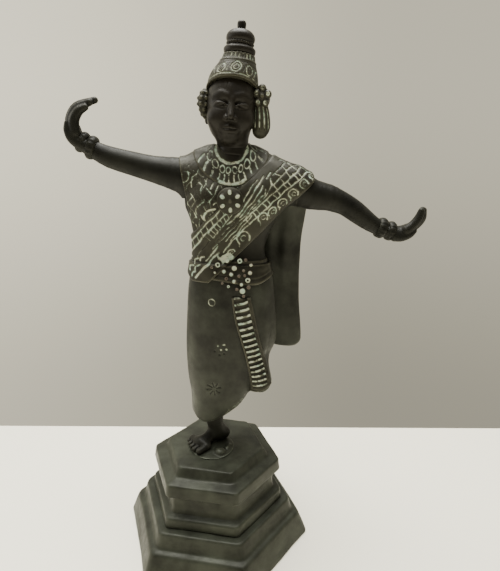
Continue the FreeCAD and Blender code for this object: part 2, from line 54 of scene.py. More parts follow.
# The face sits this far to the right of the crown's axis, up to the heights between which it comes back.
FACE_SHIFT = -2.6
SHIFT_ENDS = (48.0, 66.0)

PLINTH_TOP, PEDESTAL_TOP, STAND_TOP = 35.0, 63.8, 84.0


# ---------------------------------------------------------------- frames

def figure_to_row(points):
    """Figure millimetres to the part's frame in metres."""
    c, s = math.cos(FIGURE_TURN), math.sin(FIGURE_TURN)
    u, v, z = points.T
    x = FIGURE_ORIGIN[0] + u * c - v * s
    y = FIGURE_ORIGIN[1] + u * s + v * c
    return np.column_stack((x, y, z)) / 1000


def base_to_row(points):
    """The stand's millimetres to the part's frame in metres."""
    return points / 1000


def smoothstep(low, high, value):
    """0 up to the first limit, 1 from the second, and smooth between them; the limits may run downwards."""
    t = np.clip((value - low) / (high - low), 0, 1)
    return t * t * (3 - 2 * t)


def head_to_figure(points):
    """Head millimetres to figure millimetres."""
    a, b, h = points.T
    a = a + FACE_SHIFT * (1 - smoothstep(*SHIFT_ENDS, h))
    c, s = math.cos(HEAD_TILT), math.sin(HEAD_TILT)
    return np.column_stack((
        HEAD_NECK[0] + a * c + h * s, HEAD_NECK[1] + b, HEAD_NECK[2] - a * s + h * c,
    ))


def head_to_row(points):
    """Head millimetres to the part's frame in metres."""
    return figure_to_row(head_to_figure(points))


# ---------------------------------------------------------------- shapes as distance fields

class Space:
    """A box of sample points, a step apart, to sculpt in."""

    def __init__(self, low, high, step):
        step = step * COARSE
        self.low, self.step = np.array(low, float), step
        counts = np.ceil((np.array(high, float) - self.low) / step).astype(int) + 1
        axes = [low[i] + step * np.arange(counts[i], dtype=np.float32) for i in range(3)]
        self.points = np.meshgrid(*axes, indexing="ij", sparse=True)

    def true_distance(self, field):
        """The field rescaled so that it grows by one millimetre for each millimetre."""
        slopes = np.gradient(field, self.step)
        return field / np.clip(np.sqrt(sum(s * s for s in slopes)), 0.35, 6.0)


def blend(a, b, k):
    """Two shapes joined with a soft fillet."""
    h = np.clip(k - np.abs(a - b), 0, None) / k
    return np.minimum(a, b) - h * h * k / 4


def without(a, b, k=0.4):
    """The first shape with the second taken out."""
    return -blend(-a, b, k)


def both(a, b, k=0.4):
    """What two shapes have in common."""
    return -blend(-a, -b, k)


def overlap(*regions):
    """What several regions have in common, with sharp edges."""
    return functools.reduce(np.maximum, regions)


def turns(count, start=0.0):
    """Evenly spaced turns round a circle, in radians; the first is given in degrees."""
    return np.radians(np.arange(count) * (360 / count) + start)


def rows_of(table):
    """The columns of a table, each as a row of numbers."""
    return [np.array(row, float) for row in zip(*table)]


def curve(x, knots, values):
    """A smooth curve through the values at the knots."""
    knots, values = np.asarray(knots, float), np.asarray(values, float)
    if knots[0] > knots[-1]:
        knots, values = knots[::-1], values[::-1]
    slope = np.gradient(values, knots)
    x = np.clip(x, knots[0], knots[-1])
    i = np.clip(np.searchsorted(knots, x, side="right") - 1, 0, len(knots) - 2)
    h = knots[i + 1] - knots[i]
    t = (x - knots[i]) / h
    start = (1 + 2 * t) * (1 - t) ** 2 * values[i] + t * (1 - t) ** 2 * h * slope[i]
    return start + t * t * (3 - 2 * t) * values[i + 1] + t * t * (t - 1) * h * slope[i + 1]


def egg(p, centre, radii):
    """An ellipsoid."""
    k0 = np.sqrt(sum(((p[i] - centre[i]) / radii[i]) ** 2 for i in range(3))) + 1e-6
    k1 = np.sqrt(sum(((p[i] - centre[i]) / radii[i] ** 2) ** 2 for i in range(3))) + 1e-6
    return k0 * (k0 - 1) / k1


def taper(p, start, end, r0, r1):
    """A straight round bar whose radius changes from end to end."""
    axis = [float(end[i] - start[i]) for i in range(3)]
    start = [float(value) for value in start]
    along = sum((p[i] - start[i]) * axis[i] for i in range(3)) / sum(a * a for a in axis)
    t = np.clip(along, 0, 1)
    gap = sum((p[i] - start[i] - t * axis[i]) ** 2 for i in range(3))
    return np.sqrt(gap) - (float(r0) + t * float(r1 - r0))


def limb(p, stations, steps=4):
    """A round bar that bends and tapers smoothly through stations of (place, radius)."""
    fine = through(stations, steps) if len(stations) > 2 else np.array(stations, float)
    field = None
    for first, last in zip(fine, fine[1:]):
        bar = taper(p, first[:3], last[:3], first[3], last[3])
        field = bar if field is None else np.minimum(field, bar)
    return field


def oval(x, y, half_x, half_y):
    """Distance to an ellipse."""
    k0 = np.sqrt((x / half_x) ** 2 + (y / half_y) ** 2) + 1e-6
    k1 = np.sqrt((x / half_x ** 2) ** 2 + (y / half_y ** 2) ** 2) + 1e-6
    return k0 * (k0 - 1) / k1


def column(p, stations, low, high):
    """An upright shape with an oval section, through stations of (z, u, v, half width, half depth)."""
    z, *rows = rows_of(stations)
    u, v, wide, deep = (curve(p[2], z, row).astype(np.float32) for row in rows)
    side = oval(p[0] - u, p[1] - v, wide, deep)
    return both(both(side, p[2] - high), low - p[2])


def through(points, steps=8):
    """A smooth line through a few points, as many short pieces."""
    points = np.array(points, float)
    t = np.arange(len(points), dtype=float)
    fine = np.linspace(0, len(points) - 1, steps * (len(points) - 1) + 1)
    if len(points) == 2:
        return points[0] + (points[1] - points[0]) * fine[:, None]
    return np.column_stack([curve(fine, t, points[:, i]) for i in range(points.shape[1])])


def ripple(points, wavelength, seed, count=7):
    """Soft random waves over a set of points, about -1 to 1."""
    chance = np.random.default_rng(seed)
    total = np.zeros(len(points))
    for _ in range(count):
        way = chance.normal(size=points.shape[1])
        way *= 2 * math.pi / (wavelength * chance.uniform(0.6, 1.6) * np.linalg.norm(way))
        total += np.sin(points @ way + chance.uniform(0, 2 * math.pi))
    return total / math.sqrt(count)


# ---------------------------------------------------------------- meshes

class Shell:
    """Points and faces that can be displaced along their normals and carry values."""

    def __init__(self, points, faces):
        self.points, self.faces = np.asarray(points, float), np.asarray(faces, int)
        corners = self.points[self.faces]
        volume = 0.0
        for i in range(1, self.faces.shape[1] - 1):
            side = np.cross(corners[:, i], corners[:, i + 1])
            volume += np.einsum("ij,ij->i", corners[:, 0], side).sum()
        if volume < 0:
            self.faces = self.faces[:, ::-1]
        self.values = {"residue": np.zeros(len(self.points))}

    def normals(self):
        """The way out of the surface at each point."""
        corners = self.points[self.faces]
        face = np.cross(corners[:, 2] - corners[:, 0], corners[:, -1] - corners[:, 1])
        total = np.column_stack([
            sum(np.bincount(self.faces[:, i], face[:, axis], len(self.points)) for i in range(4))
            for axis in range(3)
        ])
        return total / np.maximum(np.linalg.norm(total, axis=1), 1e-9)[:, None]

    def push(self, amount):
        """Moves each point out by its own amount."""
        self.points = self.points + self.normals() * np.asarray(amount)[:, None]

    def engrave(self, weight, depth=0.35, residue=1.0):
        """Cuts lines in the surface and leaves pale residue in them."""
        self.push(-depth * weight)
        self.dust(residue * weight)

    def dust(self, amount):
        """Leaves pale residue on the surface."""
        self.values["residue"] = np.maximum(self.values["residue"], amount)

    def relief(self):
        """How sharply each point stands out from its neighbours: the curvature, in 1/mm."""
        here = np.concatenate([self.faces[:, i] for i in range(4) for _ in (0, 1)])
        other = np.concatenate([self.faces[:, (i + j) % 4] for i in range(4) for j in (-1, 1)])
        step = self.points[other] - self.points[here]
        normal = self.normals()
        count = np.maximum(np.bincount(here, minlength=len(self.points)), 1)
        drop = np.bincount(here, -np.einsum("ij,ij->i", step, normal[here]), len(self.points))
        length = np.bincount(here, np.einsum("ij,ij->i", step, step), len(self.points))
        bend = 2 * drop / np.maximum(length, 1e-9)
        return 0.5 * bend + 0.5 * np.bincount(here, bend[other], len(self.points)) / count


def mesh_of(space, field):
    """The surface of a distance field."""
    reach = 3 * space.step
    grid = openvdb.FloatGrid(reach)
    grid.copyFromArray(np.clip(field, -reach, reach).astype(np.float32))
    points, faces = grid.convertToQuads(0.0)
    return Shell(points * space.step + space.low, faces)


def joined(*shells):
    """Several shells as one."""
    start, points, faces, residue = 0, [], [], []
    for shell in shells:
        points.append(shell.points)
        faces.append(shell.faces + start)
        residue.append(shell.values["residue"])
        start += len(shell.points)
    whole = Shell.__new__(Shell)
    whole.points, whole.faces = np.concatenate(points), np.concatenate(faces)
    whole.values = {"residue": np.concatenate(residue)}
    return whole


def sweep(rings):
    """A closed surface over rows of points, its two ends closed to their middles."""
    rows, count = len(rings), len(rings[0])
    points = np.concatenate([*rings, [np.mean(rings[0], 0)], [np.mean(rings[-1], 0)]])
    i, j = np.meshgrid(np.arange(rows - 1), np.arange(count), indexing="ij")
    i, j = i.ravel(), j.ravel()
    k = (j + 1) % count
    faces = np.column_stack((i * count + j, i * count + k, (i + 1) * count + k, (i + 1) * count + j))
    j = np.arange(0, count, 2)
    caps = []
    for row, hub in ((0, rows * count), (rows - 1, rows * count + 1)):
        start = row * count
        caps.append(np.column_stack((
            start + j, start + (j + 1) % count, start + (j + 2) % count, np.full(len(j), hub),
        )))
    return Shell(points, np.concatenate([faces, *caps]))


def ring_loop(rows):
    """A closed surface over rows of points that come back to the first row, as a ring does."""
    n, count = len(rows), len(rows[0])
    i, j = np.meshgrid(np.arange(n), np.arange(count), indexing="ij")
    i, j = i.ravel(), j.ravel()
    k, m = (j + 1) % count, (i + 1) % n
    faces = np.column_stack((i * count + j, i * count + k, m * count + k, m * count + j))
    return Shell(np.concatenate(rows), faces)


def fillet(profile, radius, steps=6):
    """A closed outline with its corners rounded."""
    rounded = []
    for index, here in enumerate(profile):
        here = np.array(here, float)
        back = np.array(profile[index - 1], float) - here
        on = np.array(profile[(index + 1) % len(profile)], float) - here
        reach = min(radius, 0.45 * np.linalg.norm(back), 0.45 * np.linalg.norm(on))
        a = here + back / np.linalg.norm(back) * reach
        b = here + on / np.linalg.norm(on) * reach
        for t in np.linspace(0, 1, steps):
            rounded.append((1 - t) ** 2 * a + 2 * t * (1 - t) * here + t * t * b)
    return np.array(rounded)


def fine_outline(outline, longest):
    """A closed outline with its long stretches divided."""
    points = []
    for index, here in enumerate(outline):
        on = outline[(index + 1) % len(outline)]
        pieces = max(1, int(math.ceil(np.linalg.norm(on - here) / longest)))
        points.extend(here + (on - here) * t for t in np.arange(pieces) / pieces)
    return np.array(points)


# ---------------------------------------------------------------- engraving

class Engraving:
    """Lines drawn on a flat pattern and cut into a surface."""

    def __init__(self, seed):
        self.strokes, self.seed = [], seed

    def line(self, *points, width=0.5, strength=1.0, steps=8):
        """A smooth stroke through the points."""
        self.strokes.append((through(points, steps), width, strength))

    def lines(self, *rows):
        """Strokes from rows of (points, width, strength)."""
        for points, width, strength in rows:
            self.line(*points, width=width, strength=strength)

    def arc(self, centre, radius, start=0, end=360, width=0.45, strength=1.0, squeeze=1.0, turn=0.0):
        """Part of a circle or of an ellipse, turned in the pattern; angles in degrees."""
        t = np.radians(np.linspace(start, end, max(6, int(abs(end - start) / 18))))
        x, y = radius * np.cos(t), radius * squeeze * np.sin(t)
        c, s = math.cos(math.radians(turn)), math.sin(math.radians(turn))
        points = np.column_stack((centre[0] + x * c - y * s, centre[1] + x * s + y * c))
        self.strokes.append((points, width, strength))

    def rungs(self, first, second, count, width=0.4, strength=0.9, lean=0.0):
        """Cross lines between two rails."""
        first, second = through(first, 24), through(second, 24)
        for t in (np.arange(count) + 0.5) / count:
            a = first[int(t * (len(first) - 1))]
            b = second[int(np.clip(t + lean, 0, 1) * (len(second) - 1))]
            self.strokes.append((np.array([a, b]), width, strength))

    def weight(self, x, y, soft=0.3, waver=0.25):
        """How deep the lines cut at each place, 0 to 1."""
        flat = np.column_stack((x, y))
        x = x + waver * ripple(flat, 9.0, self.seed)
        y = y + waver * ripple(flat, 9.0, self.seed + 1)
        total = np.zeros(len(x))
        for points, width, strength in self.strokes:
            reach = width + soft
            low, high = points.min(0) - reach, points.max(0) + reach
            near = np.flatnonzero((x > low[0]) & (x < high[0]) & (y > low[1]) & (y < high[1]))
            if not len(near):
                continue
            px, py = x[near], y[near]
            best = np.full(len(near), 1e9)
            for (ax, ay), (bx, by) in zip(points, points[1:]):
                dx, dy = bx - ax, by - ay
                t = np.clip(((px - ax) * dx + (py - ay) * dy) / max(dx * dx + dy * dy, 1e-9), 0, 1)
                best = np.minimum(best, (px - ax - t * dx) ** 2 + (py - ay - t * dy) ** 2)
            cut = strength * smoothstep(width + soft, max(width - soft, 0), np.sqrt(best))
            total[near] = np.maximum(total[near], cut)
        return total


def broken(points, weight, seed, amount=0.5):
    """Lines worn away here and there."""
    wear = smoothstep(-0.9, 0.6, ripple(points, 7.0, seed) + 0.5 * ripple(points, 2.5, seed + 1))
    return weight * (1 - amount + amount * wear)


# ---------------------------------------------------------------- materials

PALE_RESIDUE, GREEN_RESIDUE = (0.38, 0.40, 0.31), (0.31, 0.40, 0.32)


def patina(name, deep, worn, roughness, metallic, gloss, rubbed=2.2, shade=0.8):
    """Dark cast bronze with a brown-green skin, polished where it stands out, pale where residue sits, with
    painted shade darkening its hollows.
    """
    material = bpy.data.materials.new(name)
    material.use_nodes = True
    nodes, links = material.node_tree.nodes, material.node_tree.links
    shader = nodes["Principled BSDF"]
    shader.inputs["Specular IOR Level"].default_value = gloss
    place = nodes.new("ShaderNodeTexCoord").outputs["Object"]

    def noise(scale, detail, rough=0.6):
        node = nodes.new("ShaderNodeTexNoise")
        node.inputs["Scale"].default_value = scale
        node.inputs["Detail"].default_value = detail
        node.inputs["Roughness"].default_value = rough
        links.new(place, node.inputs["Vector"])
        return node.outputs["Fac"]

    def spread(value, low, high, start=0.0, end=1.0):
        node = nodes.new("ShaderNodeMapRange")
        node.inputs["From Min"].default_value = low
        node.inputs["From Max"].default_value = high
        node.inputs["To Min"].default_value = start
        node.inputs["To Max"].default_value = end
        links.new(value, node.inputs["Value"])
        return node.outputs["Result"]

    def mix(amount, one, two):
        node = nodes.new("ShaderNodeMix")
        node.data_type = "RGBA"
        for socket, value in ((node.inputs[0], amount), (node.inputs[6], one), (node.inputs[7], two)):
            if isinstance(value, bpy.types.NodeSocket):
                links.new(value, socket)
            elif isinstance(value, float):
                socket.default_value = value
            else:
                socket.default_value = (*value, 1)
        return node.outputs[2]

    def maths(kind, one, two):
        node = nodes.new("ShaderNodeMath")
        node.operation = kind
        for socket, value in zip(node.inputs, (one, two)):
            if isinstance(value, bpy.types.NodeSocket):
                links.new(value, socket)
            else:
                socket.default_value = value
        return node.outputs[0]

    def attribute(word):
        node = nodes.new("ShaderNodeAttribute")
        node.attribute_name = word
        return node.outputs["Fac"]

    blotch = spread(noise(45, 5), 0.35, 0.68)
    speck = noise(900, 4, 0.7)
    lift = attribute("relief")
    colour = mix(blotch, deep, worn)
    edge = spread(maths("ADD", lift, maths("MULTIPLY", speck, 0.15)), 0.20, 0.60, 0.0, 0.7)
    colour = mix(edge, colour, tuple(min(1.0, rubbed * c) for c in worn))
    # painted shade: concave places are darkened towards a third of the deep colour, standing in for the
    # shadow that falls in them
    painted_hollow_shade = spread(lift, -0.10, -0.45, 0.0, shade)
    colour = mix(painted_hollow_shade, colour, tuple(0.35 * c for c in deep))
    grain = spread(noise(500, 3), 0.3, 0.6, 0.6, 1.1)
    dust = spread(maths("MULTIPLY", attribute("residue"), grain), 0.37, 0.82)
    colour = mix(dust, colour, mix(spread(noise(120, 2), 0.45, 0.65), PALE_RESIDUE, GREEN_RESIDUE))
    links.new(colour, shader.inputs["Base Color"])

    rough = spread(noise(160, 4), 0.3, 0.7, roughness - 0.08, roughness + 0.1)
    links.new(maths("ADD", rough, maths("MULTIPLY", dust, 0.45)), shader.inputs["Roughness"])
    links.new(spread(dust, 0, 1, metallic, 0.0), shader.inputs["Metallic"])
    bump = nodes.new("ShaderNodeBump")
    bump.inputs["Strength"].default_value = 0.25
    bump.inputs["Distance"].default_value = 0.0004
    height = maths("ADD", maths("MULTIPLY", noise(260, 6, 0.65), 0.8), maths("MULTIPLY", speck, 0.5))
    links.new(height, bump.inputs["Height"])
    links.new(bump.outputs["Normal"], shader.inputs["Normal"])
    return material


BODY = patina("patina_body", (0.005, 0.005, 0.004), (0.013, 0.013, 0.010), 0.44, metallic=0.1, gloss=0.12)
SKIRT_SKIN = patina("patina_skirt", (0.008, 0.008, 0.006), (0.031, 0.034, 0.026), 0.42,
                    metallic=0.25, gloss=0.22)
FACE = patina("patina_face", (0.006, 0.005, 0.004), (0.014, 0.012, 0.009), 0.38, metallic=0.1, gloss=0.16,
              rubbed=1.2, shade=0.3)
CLOTH = patina("patina_cloth", (0.010, 0.009, 0.006), (0.032, 0.031, 0.022), 0.46, metallic=0.2, gloss=0.18)
BUCKLE_SKIN = patina("patina_buckle", (0.016, 0.011, 0.008), (0.050, 0.040, 0.032), 0.5,
                     metallic=0.2, gloss=0.2)
STAND = patina("patina_stand", (0.012, 0.013, 0.009), (0.036, 0.040, 0.029), 0.46, metallic=0.2, gloss=0.2)
BRASS = patina("brass_pin", (0.30, 0.20, 0.07), (0.45, 0.31, 0.12), 0.35, metallic=1.0, gloss=0.35)
STEEL = patina("steel_fastener", (0.20, 0.20, 0.20), (0.34, 0.34, 0.33), 0.35, metallic=1.0, gloss=0.35)

# Edges sharper than this stay hard when a mesh is shaded smooth.
SHARP_EDGE = math.radians(55)


def piece(name, shell, to_row, material):
    """Makes the object for a shell, in the part's frame, to be seen instead of the part's own node."""
    mesh = bpy.data.meshes.new(name)
    mesh.from_pydata(to_row(shell.points).tolist(), [], shell.faces.tolist())
    shell.values["relief"] = shell.relief()
    for word, values in shell.values.items():
        held = mesh.attributes.new(word, "FLOAT", "POINT")
        held.data.foreach_set("value", np.asarray(values, np.float32))
    mesh.shade_smooth()
    mesh.set_sharp_from_angle(angle=SHARP_EDGE)
    mesh.materials.append(material)
    made = bpy.data.objects.new(name, mesh)
    bpy.context.scene.collection.objects.link(made)
    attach(made, "root")
    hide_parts(name.removesuffix("_cast"))


# ---------------------------------------------------------------- the stand

SIXTH = math.radians(60)


def toward(turn):
    """The unit step in a direction of the stand's plan."""
    return np.array([math.cos(turn), math.sin(turn)])


def hexagon_ring(circumradius, corner):
    """Points round a hexagon with rounded corners, the first corner on the x axis."""
    corner = min(corner, 0.7 * circumradius)
    inner = circumradius - corner / math.cos(SIXTH / 2)
    points = []
    for middle in SIXTH * np.arange(6):
        bend = np.linspace(middle - SIXTH / 2, middle + SIXTH / 2, 7)
        arc = inner * toward(middle) + corner * np.column_stack((np.cos(bend), np.sin(bend)))
        following = inner * toward(middle + SIXTH) + corner * toward(bend[-1])
        flat = [arc[-1] + (following - arc[-1]) * t for t in np.linspace(0, 1, 16)[1:-1]]
        points.extend([*arc, *flat])
    return np.array(points)


def hexagon_cast(profile, rounding, corner_low, corner_high, seed):
    """A six-sided casting over a closed outline of (circumradius, height)."""
    outline = fine_outline(fillet(profile, rounding), 2.6)
    low, high = outline[:, 1].min(), outline[:, 1].max()
    rows = []
    for radius, height in outline:
        corner = corner_low + (corner_high - corner_low) * (height - low) / (high - low)
        ring = hexagon_ring(radius, corner)
        rows.append(np.column_stack((ring, np.full(len(ring), height))))
    shell = ring_loop(rows)
    shell.push(0.28 * ripple(shell.points, 42.0, seed) + 0.09 * ripple(shell.points, 11.0, seed + 1))
    shell.points[:, 2] = np.maximum(shell.points[:, 2], low)
    return shell


PLINTH = [(85, 0), (76.8, 21.2), (71.0, 22.6), (67.8, PLINTH_TOP), (50, PLINTH_TOP), (50, 16),
          (62, 16), (79, 0)]
PEDESTAL = [(61, PLINTH_TOP), (59.8, 43.8), (53.2, 45.6), (52.2, PEDESTAL_TOP), (44, PEDESTAL_TOP),
            (44, PLINTH_TOP)]
SLAB = [(59.0, PEDESTAL_TOP), (57.6, 74.4), (47.8, 76.4), (43.6, STAND_TOP), (0.4, STAND_TOP), (0.4, 74),
        (12, 66), (44, PEDESTAL_TOP)]
for name, profile, rounding, corner_low, corner_high, seed in (
    ("base_plinth_cast", PLINTH, 2.4, 5.0, 8.5, 11),
    ("base_pedestal_cast", PEDESTAL, 1.8, 5.5, 6.0, 21),
    ("base_top_cast", SLAB, 1.7, 5.5, 4.5, 31),
):
    casting = hexagon_cast(profile, rounding, corner_low, corner_high, seed)
    piece(name, casting, base_to_row, STAND)

# ---------------------------------------------------------------- the body's own field

# The trunk and the skirt run through stations of (z, u, v, half width, half depth), the limbs through
# stations of (u, v, z, radius).
TORSO = [
    (240, 6.8, 0, 30.0, 17.5), (248, 6.8, 0, 29.4, 16.5), (260, 6.2, 0, 27.8, 15.8),
    (282, 8.8, -0.5, 33.0, 17.4), (300, 11.0, -1, 41.0, 18.4), (314, 12.0, 0, 41.8, 16.2),
    (324, 10.4, 0.6, 38.5, 14.0), (330, 8.2, 1.0, 32.0, 12.2), (334, 7.2, 1.3, 26.5, 10.8),
    (337, 7.6, 1.5, 19.5, 9.6), (340, 8.2, 1.5, 11.5, 8.5),
]
RIGHT_ARM = [(-14, 0, 315.5, 13.4), (-30, 0, 316.9, 13.0), (-37.3, 0, 318.3, 12.0), (-52.5, 0, 321.4, 9.8),
             (-67.5, 0, 325.2, 8.8), (-82.4, 0, 329.2, 8.0), (-92, 0, 333.4, 6.8), (-101, 0, 338.4, 6.0)]
LEFT_ARM = [(38, 0, 311, 14.5), (54, 0, 309.6, 14.4), (69.5, 0, 303.5, 11.9), (82.4, 0, 301.2, 10.3),
            (89.3, 0, 298.9, 9.4), (97.3, 0, 295.6, 8.5), (105.6, 0, 290.4, 8.3), (115, 0, 283.8, 7.4),
            (122.6, 0, 279.1, 6.4), (131, 0, 275.6, 5.9), (137, 0, 274.0, 5.4)]


def trunk_field(p):
    return column(p, TORSO, 230, 340)


def body_field(p):
    """Trunk and arms as one flowing shape."""
    trunk = trunk_field(p)
    for chest in ((-9.0, -11.0, 301), (27.0, -11.0, 303)):
        trunk = blend(trunk, egg(p, chest, (12, 10.5, 12)), 9)
    trunk = without(trunk, limb(p, [(8.5, 20.5, 250, 2.0), (9.5, 22.5, 300, 2.6), (8.5, 18, 326, 2.0)]), 7)
    return blend(blend(trunk, limb(p, RIGHT_ARM, 2), 8), limb(p, LEFT_ARM, 2), 8)


SKIRT = [
    (104, -12, 0, 14.0, 12.8), (112, -9, 0, 18.2, 14.6), (119, -6.2, 0, 21.0, 16), (134, -1.2, 0, 26.2, 18.5),
    (150, 1.0, 0, 30.6, 20), (176, 4.2, 0, 34.6, 22), (208, 6.2, 0, 35.4, 22.6), (234, 7.2, 0, 34.2, 20.6),
    (248, 6.8, 0, 31.2, 18),
]


def hem_height(u):
    """The hem climbs from the standing foot to the corner of the hanging cloth below the raised knee."""
    return curve(u, [-34, -26, -22, -17, -12, -7, 1.3, 8, 14.5, 19, 23.5, 33, 42, 52],
                 [121, 117, 113.4, 111.4, 112.2, 113.8, 118, 122, 126.4, 132, 139, 143, 149, 155])


def skirt_field(p):
    """The wrapped skirt over the standing leg, the raised thigh, the cloth hanging from it and the shin."""
    wrapped = column(p, SKIRT, 100, 249)
    thigh = [(14, -3, 232, 17), (27, -5, 200, 14.5), (28.2, -4, 186, 13.2)]
    drape = [(27.4, -4, 186, 12.4), (25.8, -5, 175, 11.2), (27.8, -8, 164, 10.6), (31.4, -10, 153, 9.8),
             (35.0, -12, 140, 8.4)]
    shin = [(31, 6, 184, 12.0), (27, 22, 183, 12.0)]
    for stations, steps in ((thigh, 4), (drape, 3), (shin, 4)):
        wrapped = blend(wrapped, limb(p, stations, steps), 8)
    return wrapped


# Where the arms part from the trunk, and how far each reaches in under it.
RIGHT_CUT, LEFT_CUT, ARM_LAP = -28.0, 58.0, 3.0
WAIST_CUT = 247.8


def arm(name, low, high, cut, side):
    """One arm out of the body's field, its lap a quarter of a millimetre thinner than the trunk over it."""
    space = Space(low, high, 0.6)
    inward = side * (cut - space.points[0])
    field = body_field(space.points) + 0.25 * smoothstep(0, 1.0, inward)
    piece(name, mesh_of(space, both(field, inward - ARM_LAP)), figure_to_row, BODY)


arm("arm_right_cast", (-106, -16, 300), (-22, 16, 346), RIGHT_CUT, -1)
arm("arm_left_cast", (52, -18, 264), (140, 18, 328), LEFT_CUT, 1)

# From here on, p is the sample points of the space that is being sculpted.
trunk_space = Space((-42, -34, 233), (78, 30, 342), 0.5)
p = trunk_space.points
body = trunk_space.true_distance(body_field(p))
torso = both(both(body, WAIST_CUT - p[2]), both(RIGHT_CUT - p[0], p[0] - LEFT_CUT))
piece("torso_cast", mesh_of(trunk_space, torso), figure_to_row, BODY)


def cloth(thickness, region, sunk=1.0, soft=0.8, base=body):
    """A layer of cloth over the body: so thick, and only where the region holds."""
    return both(both(base - thickness, -(base + sunk), 0.3), region, soft)


BODICE_THICK, SASH_THICK, COLLAR_THICK = 1.1, 2.4, 1.9

SASH_EDGE, SASH_SLOPE, SASH_WIDTH = (34.8, 279.6), math.radians(43.6), 35.5
SASH_START, SASH_END = -72.0, 70.5
NECK_PIT = (7.5, -1.0, 332.0)
NECK_HOLE, COLLAR_REACH = 12.9, 28.6


def sash_place(u, z):
    """How far along the sash, up to the left shoulder, and how far inward from its outer edge."""
    du, dz = u - SASH_EDGE[0], z - SASH_EDGE[1]
    c, s = math.cos(SASH_SLOPE), math.sin(SASH_SLOPE)
    return du * c + dz * s, dz * c - du * s


def over_shoulder(u, v, z):
    """Height on the front, carried on over the top of the shoulder to the back."""
    top = smoothstep(298, 312, z) * smoothstep(20, 40, u)
    return z + 0.9 * top * np.clip(v + 9, 0, None)


def round_neck(u, v, z):
    """Distance from the pit of the neck, and the turn about it in degrees, 0 in front."""
    du, dv, dz = u - NECK_PIT[0], v - NECK_PIT[1], z - NECK_PIT[2]
    return np.sqrt(du ** 2 + dv ** 2 + dz ** 2), np.degrees(np.arctan2(du, -dv))


def belly_patch(u, z, level, tall):
    """A patch of green residue with a ragged edge, in the middle of the belly."""
    across = u - 3.6
    out = np.sqrt((across / 6.6) ** 2 + ((z - level - 0.2 * across) / tall) ** 2)
    return smoothstep(1.25, 0.7, out + 0.22 * ripple(np.column_stack((u, z)), 5.0, 77))


along, inward = sash_place(p[0], p[2])
neckline = NECK_HOLE - np.sqrt((p[0] - 8.0) ** 2 + (p[1] - 0.5) ** 2)
bodice_region = overlap(
    3.0 - inward, neckline, 249.0 - p[2], -29.5 - 0.16 * (p[2] - 318) - p[0], p[0] - 52.0)
bodice = mesh_of(trunk_space, cloth(BODICE_THICK, bodice_region))

chance = np.random.default_rng(5)
net = Engraving(41)
for slant in (60, 116):
    c, d = math.cos(math.radians(slant)), math.sin(math.radians(slant))
    for row in np.arange(-46, 70, 4.7):
        spot = chance.uniform(-60, -54)
        while spot < 60:
            length = chance.uniform(4.5, 13.0)
            bow = chance.normal(0, 0.8, 3)
            ends = []
            for t, bend in zip((0, 0.5, 1), row + bow):
                far = spot + t * length
                ends.append((c * far - d * bend, 292 + c * bend + d * far))
            net.line(*ends, width=chance.uniform(0.32, 0.5), strength=chance.uniform(0.5, 1.0), steps=3)
            spot += length + chance.uniform(0.4, 2.6)
hook = Engraving(42)
hook.line((-4.4, 293.4), (-10.8, 290.6), (-13.3, 287.0), (-12.2, 283.4), width=0.75, strength=1.0)
hook.line((-4.0, 290.2), (-9.0, 286.6), (-11.2, 282.4), width=0.35, strength=0.6)
u, v, z = bodice.points.T
reach, turn = round_neck(u, v, z)
away = smoothstep(27.5, 30.5, reach)
fainter = 1 - 0.7 * smoothstep(318, 327, z)
bodice.engrave(broken(bodice.points, net.weight(u, z, waver=0.6) * away * fainter, 43, 0.4), 0.4)
bodice.engrave(hook.weight(u, z, waver=0.3) * (v < 0), 0.45)
shoulder = Engraving(45)
for spoke in np.arange(-172, 180, 8.5):
    if abs(spoke) > 40:
        near = (spoke, 28 + chance.uniform(-1, 1))
        far = (spoke + chance.uniform(-2, 2), 35 + chance.uniform(-2, 4))
        shoulder.line(near, far, width=0.5, strength=chance.uniform(0.2, 0.55), steps=2)
spokes = shoulder.weight(turn, reach, soft=0.6) * (z > 312)
bodice.engrave(broken(bodice.points, spokes, 47, 0.6), 0.3)
piece("bodice_wrap_cast", bodice, figure_to_row, CLOTH)

wrapped = np.minimum(body, trunk_space.true_distance(skirt_field(p)))
sash_region = overlap(
    -inward, inward - SASH_WIDTH, SASH_START - along, neckline - 2.0, p[0] - SASH_END, 236.5 - p[2])
sash = mesh_of(trunk_space, cloth(SASH_THICK, sash_region, soft=1.6, base=wrapped))

sash_lines = Engraving(51)
# the hem, the border of the scroll band, and the ladder above it
sash_lines.lines(
    ([(-66, 0.9), (-20, 0.9), (30, 0.8), (75, 0.9)], 0.25, 0.35),
    ([(-32, 10.6), (-14, 11.2), (-2, 11.4), (24, 10.8), (44, 9.6), (75, 10.0)], 0.6, 1.0),
    ([(-10, 16.2), (2, 16.5), (14, 16.4), (31, 15.4), (75, 15.4)], 0.55, 1.0),
)
sash_lines.rungs([(-8, 16.4), (75, 15.4)], [(-8, 11.2), (75, 10.0)], 16, width=0.5, strength=0.95, lean=-0.01)
for level, first in ((20.8, 22), (26.0, 29), (31.2, 40)):
    upper, lower = ([(first, level - drop), (75, level - 0.6 - drop)] for drop in (0, 5.0))
    sash_lines.line(*upper, width=0.5, strength=0.85)
    sash_lines.rungs(upper, lower, int((75 - first) / 6.4), width=0.48, strength=0.8, lean=0.012)
SCROLLS = [(-33, 5.6, 2.6), (-19.1, 7.4, 5.0), (2.3, 8.0, 3.9), (10.4, 6.6, 3.4), (20.0, 5.8, 3.6),
           (30.5, 5.6, 3.6), (41.5, 5.2, 3.4), (52, 5.0, 3.2), (63, 5.0, 3.2)]
